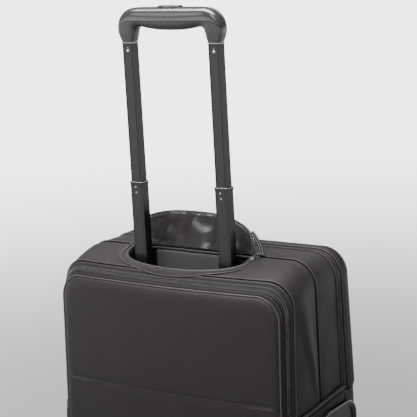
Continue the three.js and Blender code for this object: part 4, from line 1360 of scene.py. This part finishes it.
for label, side in (("left", -1), ("right", 1)):
    at = np.array([side * TUBE_X, HANDLE_Y])
    collar_levels = [(0.4700, 0), (0.4702, 0.0003), (0.4738, 0.0003), (0.4746, 0), (0.4750, -0.0006)]
    ring_levels(f"collar_{label}", (0.0246, 0.0186), (0.0209, 0.0149), 0.0030, at, collar_levels,
                "middle_stage", [f"stage_collar_{label}"], TUBE)
    bead_levels = [(0.4741, 0.0002), (0.4743, 0.0006), (0.4748, 0.0006), (0.4751, 0.0002)]
    ring_levels(f"collar_bead_{label}", (0.0246, 0.0186), (0.0226, 0.0166), 0.0030, at, bead_levels,
                "middle_stage", (), TRIM)
    flange_levels = [(0.6927, -0.0003), (0.6929, 0), (0.6938, 0), (0.6940, -0.0003)]
    ring_levels(f"flange_{label}", (0.0234, 0.0184), (0.0060, 0.0060), 0.0028, at, flange_levels,
                "upper_stage", [f"grip_flange_{label}"], TRIM)
    for number, z in enumerate((0.4665, 0.4580)):
        dimple(f"tube_dimple_{label}_{number}", at[0] - 0.0015 + 0.001 * number, z, "middle_stage")
    front = HANDLE_Y - 0.0070
    head = [(0.00002, -0.0015), (0.0012, -0.0014), (0.0022, -0.0010), (0.0027, -0.0003), (0.0027, 0.0),
            (0.0015, 0.0002), (0.0015, 0.003), (0.00002, 0.003)]
    rivet = lathe(f"rivet_{label}", head, np.array([at[0], front, 0.681]), "y", 24)
    dress(rivet, (BRIGHT,), "upper_stage", [f"tube_rivet_{label}"], 40)
    dot = lathe(f"vent_dot_{label}", [(0.00002, -0.0004), (0.0008, -0.0003), (0.0011, 0), (0.00002, 0.0002)],
                np.array([at[0], front, 0.6862]), "y", 16)
    dress(dot, (BRIGHT,), "upper_stage", (), 40)
print("collars, flanges, dimples and rivets fitted")

# %% [markdown]
# ## The grip
# The grip is a moulded U: a bar with a palm swell underneath, rounded elbows, and two necks that narrow
# to the tubes. It is lofted between an outer and an inner line that run along it together, with rounded
# sections in the bar that turn squarer towards the necks. It is then parted into two shells, and an oval
# hole is cut for the release button.

# %% Grip body
GRIP_OUTER = [(0, 747.6), (25, 747.6), (48, 747.5), (62, 747.2), (72, 746.2), (80.2, 743.4), (87, 738.8),
              (92.2, 732.6), (95.4, 725.6), (96.8, 718), (96.6, 711), (94.8, 704.5), (92.4, 699),
              (90.9, 696.4), (90.8, 694.6)]
GRIP_INNER = [(0, 712.2), (22, 712.8), (40, 714.9), (50, 716.9), (56.5, 717.4), (60.2, 716.4), (62.6, 714.4),
              (64, 711.8), (65, 708.8), (65.9, 705.6), (66.8, 702.6), (67.7, 700), (68.6, 697.6),
              (69.1, 696.2), (69.2, 694.6)]
GRIP_DEPTH = [27, 27, 27, 27, 26.8, 26.4, 25.8, 25, 24, 22.8, 21.4, 19.9, 18.6, 17.8, 17.4]
GRIP_SQUARE = [2.5, 2.5, 2.5, 2.6, 2.7, 2.8, 2.9, 3.1, 3.4, 3.8, 4.3, 5.0, 5.6, 6.0, 6.0]


def smooth_line(values, count):
    """Passes a smooth curve through values, with count points between each two."""
    values = np.asarray(values, float).reshape(len(values), -1)
    padded = np.concatenate([2 * values[:1] - values[1:2], values, 2 * values[-1:] - values[-2:-1]])
    made = []
    for i in range(1, len(padded) - 2):
        a, b, c, d = padded[i - 1:i + 3]
        for t in np.linspace(0, 1, count, endpoint=False):
            made.append(0.5 * (2 * b + (c - a) * t + (2 * a - 5 * b + 4 * c - d) * t ** 2
                               + (3 * b - a - 3 * c + d) * t ** 3))
    return np.array(made + [values[-1]])


def grip_body(name):
    outer, inner = smooth_line(GRIP_OUTER, 5) / 1000, smooth_line(GRIP_INNER, 5) / 1000
    depth, square = smooth_line(GRIP_DEPTH, 5)[:, 0] / 1000, smooth_line(GRIP_SQUARE, 5)[:, 0]
    outer = np.concatenate([outer[:0:-1] * [-1, 1], outer])
    inner = np.concatenate([inner[:0:-1] * [-1, 1], inner])
    depth, square = np.concatenate([depth[:0:-1], depth]), np.concatenate([square[:0:-1], square])
    turns = np.linspace(0, 2 * math.pi, 40, endpoint=False)
    c, s = np.cos(turns)[None], np.sin(turns)[None]
    power = (2 / square)[:, None]
    up, side = np.sign(c) * np.abs(c) ** power, np.sign(s) * np.abs(s) ** power
    middle, reach = (outer + inner) / 2, (outer - inner) / 2
    x = middle[:, :1] + reach[:, :1] * up
    z = middle[:, 1:] + reach[:, 1:] * up
    y = HANDLE_Y + depth[:, None] / 2 * side
    points = np.stack([x, y, z], -1)
    return piece_from(name, points, tube_faces(*points.shape[:2]))


def box_tool(x, y, z):
    return prism("box_tool", [(x[0], y[0]), (x[1], y[0]), (x[1], y[1]), (x[0], y[1])], "z", *z)


def parting(drop):
    """Everything above the parting line, in front view."""
    line = [(-0.13, 0.718), (-0.0975, 0.718), (-0.079, 0.727), (0.079, 0.727), (0.0975, 0.718),
            (0.13, 0.718)]
    shape = [(x, z - drop) for x, z in line] + [(0.13, 0.78), (-0.13, 0.78)]
    return prism("parting_tool", shape, "y", -0.08, 0.02)


def oval(length, width, count=48):
    turns = np.linspace(0, 2 * math.pi, count, endpoint=False)
    reach = (length - width) / 2
    x = np.cos(turns) * width / 2 + np.clip(np.cos(turns) * 4, -1, 1) * reach
    return np.column_stack([x, np.sin(turns) * width / 2 + HANDLE_Y])


works = box_tool((-0.084, 0.084), (HANDLE_Y - 0.005, HANDLE_Y + 0.005), (0.719, 0.7285))
stem_room = box_tool((-0.0065, 0.0065), (HANDLE_Y - 0.005, HANDLE_Y + 0.005), (0.720, 0.7455))
button_hole = prism("button_hole", oval(0.0452, 0.0160), "z", 0.7376, 0.760)
rod_outline = tube_section(0.006, 0.006, 0.0029)
rod_holes = [prism("rod_hole", rod_outline + [side * TUBE_X, HANDLE_Y], "z", 0.68, 0.7195)
             for side in (-1, 1)]
lower_part, upper_part = parting(0.0004), parting(-0.0004)

grip_low = carved(grip_body("grip_lower"), lower_part, works, *rod_holes)
grip_high = carved(grip_body("grip_upper"), upper_part, operation="INTERSECT")
carved(grip_high, works, stem_room, button_hole)
discard(works, stem_room, button_hole, lower_part, upper_part, *rod_holes)
dress(grip_low, (GRIP_LOW,), "upper_stage", ["grip_lower_shell"], 40)
dress(grip_high, (GRIP,), "upper_stage", ["grip_upper_shell"], 40)
print("grip is", [round(v * 1000) for v in (grip_low.dimensions.x, grip_low.dimensions.y)], "mm across")

# %% [markdown]
# ## Release button
# The thumb button is an oval with a low dome, set in the top of the grip. It is lofted from shrinking
# ovals, and a stem runs down from it to the bar that pulls the lock pins.

# %% Domed oval button
dome = [(1.0, 0.7430), (1.0, 0.7477), (0.97, 0.7487), (0.90, 0.7494), (0.72, 0.7497), (0.45, 0.7494),
        (0.2, 0.7492), (0.02, 0.7491)]
shapes = []
for share, z in dome:
    ring = oval(0.0440, 0.0150)
    centre = np.array([0, HANDLE_Y])
    inset = (1 - share) * 0.0075
    shapes.append(np.column_stack([centre + (ring - centre) * [1 - inset / 0.022, share], np.full(48, z)]))
tops = np.stack(shapes)
under = tops.copy()
under[..., 2] = 0.7428
button = panel("release_button", tops, under, wrap=True)
dress(button, (GRIP,), "button", ["grip_button"], 30)
stem = prism("button_stem", tube_section(0.011, 0.008, 0.0015) + [0, HANDLE_Y], "z", 0.7270, 0.7429)
dress(stem, (PLASTIC,), "button", ())
print("button stands", round((0.7497 - 0.7476) * 1000, 1), "mm above the grip")

# %% [markdown]
# ## Wheels
# Each wheel is a soft tyre on a spoked hub. The tyre is turned from a profile with two tread grooves.
# The hub is turned too, and five windows are cut between its spokes.

# %% Tyres, hubs and feet
WHEEL_X, WHEEL_Y, WHEEL_R, WHEEL_W = 0.205, 0.070, 0.037, 0.024


def groove(radius, at, half):
    return [(radius, at - half), (radius - 0.0012, at - half * 0.6), (radius - 0.0012, at + half * 0.6),
            (radius, at + half)]


for label, side in (("left", -1), ("right", 1)):
    centre = np.array([side * WHEEL_X, WHEEL_Y, WHEEL_R])
    w = WHEEL_W / 2
    profile = [(0.0265, -w + 0.003), (0.031, -w), (0.0340, -w + 0.0008), (0.0360, -w + 0.0030),
               (WHEEL_R, -w + 0.0056), *groove(WHEEL_R, -0.0032, 0.0009),
               *groove(WHEEL_R, 0.0032, 0.0009), (WHEEL_R, w - 0.0056),
               (0.0360, w - 0.0030), (0.0340, w - 0.0008), (0.031, w), (0.0265, w - 0.003)]
    tyre = lathe(f"tyre_tread_{label}", profile, centre, "x", 96)
    dress(tyre, (RUBBER,), f"wheel_{label}", [f"tyre_{label}"], 40)
    hub_profile = [(0.0043, -w + 0.001), (0.0092, -w + 0.001), (0.0104, -w + 0.0022), (0.0112, -w + 0.0060),
                   (0.0225, -w + 0.0066), (0.0240, -w + 0.0040), (0.0262, -w + 0.0034), (0.0262, w - 0.0034),
                   (0.0240, w - 0.0040), (0.0225, w - 0.0066), (0.0112, w - 0.0060), (0.0104, w - 0.0022),
                   (0.0092, w - 0.001), (0.0043, w - 0.001)]
    hub = lathe(f"hub_{label}", hub_profile, centre, "x", 96)
    windows = []
    for turn in np.radians(np.arange(5) * 72 + 18):
        wedge = []
        for radius, spread_angle in ((0.0132, 0.30), (0.0212, 0.42)):
            for angle in np.linspace(-spread_angle, spread_angle, 7):
                wedge.append((radius, angle if radius < 0.015 else -angle))
        cut_line = [(WHEEL_Y + r * math.cos(turn + a), WHEEL_R + r * math.sin(turn + a)) for r, a in wedge]
        windows.append(prism("hub_window", cut_line, "x", side * WHEEL_X - 0.02, side * WHEEL_X + 0.02))
    carved(hub, *windows)
    discard(*windows)
    dress(hub, (HUB,), f"wheel_{label}", [f"wheel_hub_{label}"], 40)
    foot_profile = [(0.00002, 0.0), (0.0102, 0.0), (0.0112, 0.0009), (0.0128, 0.012), (0.0140, 0.0207),
                    (0.0137, 0.0217), (0.00002, 0.0217)]
    foot = lathe(f"foot_{label}", foot_profile, np.array([side * 0.150, -0.072, 0]), "z", 48)
    dress(foot, (RUBBER,), CASE, [f"front_foot_{label}"], 40)
print("wheels are", round(WHEEL_R * 2000), "mm across")

# %% [markdown]
# ## Wheel housings
# The housings are deep mouldings. Their CAD shape stays; what a moulder would add is laid on it: a
# raised outer rim and a fine step inside it.

# %% Housing rims
RIM_STEPS = [(0.0, 0.0), (0.0004, 0.0012), (0.0016, 0.0018), (0.0034, 0.0018), (0.0046, 0.0008),
             (0.0050, -0.0012)]
BEAD_STEPS = [(0.0062, -0.0018), (0.0066, -0.0004), (0.0084, -0.0002), (0.0092, -0.0020)]


def housing_ring(name, side, steps):
    """A moulded rim that follows the housing; steps are (inward distance, how far out)."""
    rings = []
    for inward, proud in steps:
        line = housing_outline(-inward)
        smooth = np.concatenate([line, line[:1]])
        spaced = sample(smooth, spread(smooth, 0.004))
        rings.append(spaced)
    count = min(len(ring) for ring in rings)
    loops = [ring[np.linspace(0, len(ring) - 1, count).astype(int)] for ring in rings]
    outer = np.stack([np.column_stack([np.full(count, side * (HOUSING["outer"] + proud)), loop])
                      for loop, (_, proud) in zip(loops, steps)])
    inner = outer.copy()
    inner[..., 0] = side * (HOUSING["outer"] - 0.0025)
    return dress(panel(name, outer, inner, wrap=True), (RIM, RIM), CASE, (), 30)


# The rims' lighter colour is painted highlight.
for label, side in (("left", -1), ("right", 1)):
    housing_ring(f"housing_rim_{label}", side, RIM_STEPS)
    housing_ring(f"housing_step_{label}", side, BEAD_STEPS)


def both(part):
    """The left and the right node of a pair."""
    return [f"{part}_left", f"{part}_right"]


hard_nodes = {
    PLASTIC: ["base_chassis", "tube_base_bracket", "well_floor", "actuator_bar", *both("wheel_housing"),
              *both("guide_bush"), *both("tube_plug")],
    TUBE: both("outer_tube"),
    STEEL: ["button_spring", *both("axle"), *both("push_rod"), *both("lock_pin")]}
for finish, nodes in hard_nodes.items():
    for node in nodes:
        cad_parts[node].data.materials.clear()
        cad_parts[node].data.materials.append(finish)
for node in ("wheel_housing_left", "wheel_housing_right", "base_chassis", "well_floor", "tube_base_bracket"):
    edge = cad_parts[node].modifiers.new("edge", "BEVEL")
    edge.width, edge.segments, edge.limit_method = 0.0008, 2, "ANGLE"
print("hard parts finished:", sum(len(nodes) for nodes in hard_nodes.values()))

# %% [markdown]
# ## Sliders and pulls
# A zip slider is a waisted metal body with a bridge over it; the pull hangs from the bridge. Each
# slider rides its own zip, and each pull swings on its slider.

# %% Zip sliders and pulls
def rounded_solid(name, sections):
    """A solid lofted through rounded rectangles: (centre, across axis, up axis, width, height, corner)."""
    rings = []
    for centre, across, up, width, height, corner in sections:
        flat = tube_section(width, height, corner)
        flat = flat[np.linspace(0, len(flat) - 1, 36).astype(int)]
        rings.append(np.asarray(centre) + flat[:, :1] * np.asarray(across) + flat[:, 1:] * np.asarray(up))
    return piece_from(name, np.concatenate(rings), tube_faces(len(rings), len(rings[0])))


def zip_slider(prefix, body, pull_body, along, out, finish):
    """Builds a slider and its pull in the boxes of their CAD nodes; along and out are unit directions."""
    along, out = np.array(along, float), np.array(out, float)
    across = np.cross(along, out)
    low, high = (np.array(v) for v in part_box(f"{prefix}_slider"))
    centre, size = (low + high) / 2, high - low
    length, width, height = (abs(size @ np.abs(v)) for v in (along, across, out))
    sections = []
    for t, waist in ((-0.5, 0.55), (-0.44, 0.75), (-0.2, 0.78), (0.05, 0.86), (0.3, 1.0), (0.45, 0.95),
                     (0.5, 0.8)):
        middle = centre + along * length * t
        sections.append((middle, across, out, width * waist, height * 0.86, height * 0.3))
    slider = rounded_solid(f"{prefix}_slider_body", sections)
    dress(slider, (finish,), body, [f"{prefix}_slider"], 40)
    bridge_turns = np.linspace(0, math.pi, 13)
    bridge = [centre + along * length * 0.28 * math.cos(turn)
              + out * (height * 0.30 + height * 0.36 * math.sin(turn)) for turn in bridge_turns]
    dress(round_cord(f"{prefix}_slider_bridge", bridge, 0.0008, across), (finish,), body, (), 60)
    low, high = (np.array(v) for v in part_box(f"{prefix}_pull"))
    centre, size = (low + high) / 2, high - low
    length, width, height = (abs(size @ np.abs(v)) for v in (along, across, out))
    sections = []
    for t, wide, thick in ((-0.5, 0.5, 0.8), (-0.47, 0.8, 1), (-0.3, 0.95, 1), (-0.05, 0.8, 0.8),
                           (0.15, 0.62, 0.7), (0.42, 0.7, 0.8), (0.5, 0.4, 0.6)):
        middle = centre + along * length * t
        sections.append((middle, across, out, width * wide, height * thick, height * 0.3))
    pull = rounded_solid(f"{prefix}_pull_tab", sections)
    dress(pull, (finish,), pull_body, [f"{prefix}_pull"], 40)


zip_slider("front_zip", "front_zip", "front_pull", (0, 0.0445, 1), (-1, 0, 0), STEEL)
zip_slider("rear_zip", "rear_zip", "rear_pull", (0, -0.035, 1), (-1, 0, 0), STEEL)
zip_slider("flap_zip", "flap_zip", "flap_pull", (0, -1, 0), (0, 0, 1), STEEL)
print("three sliders and pulls")
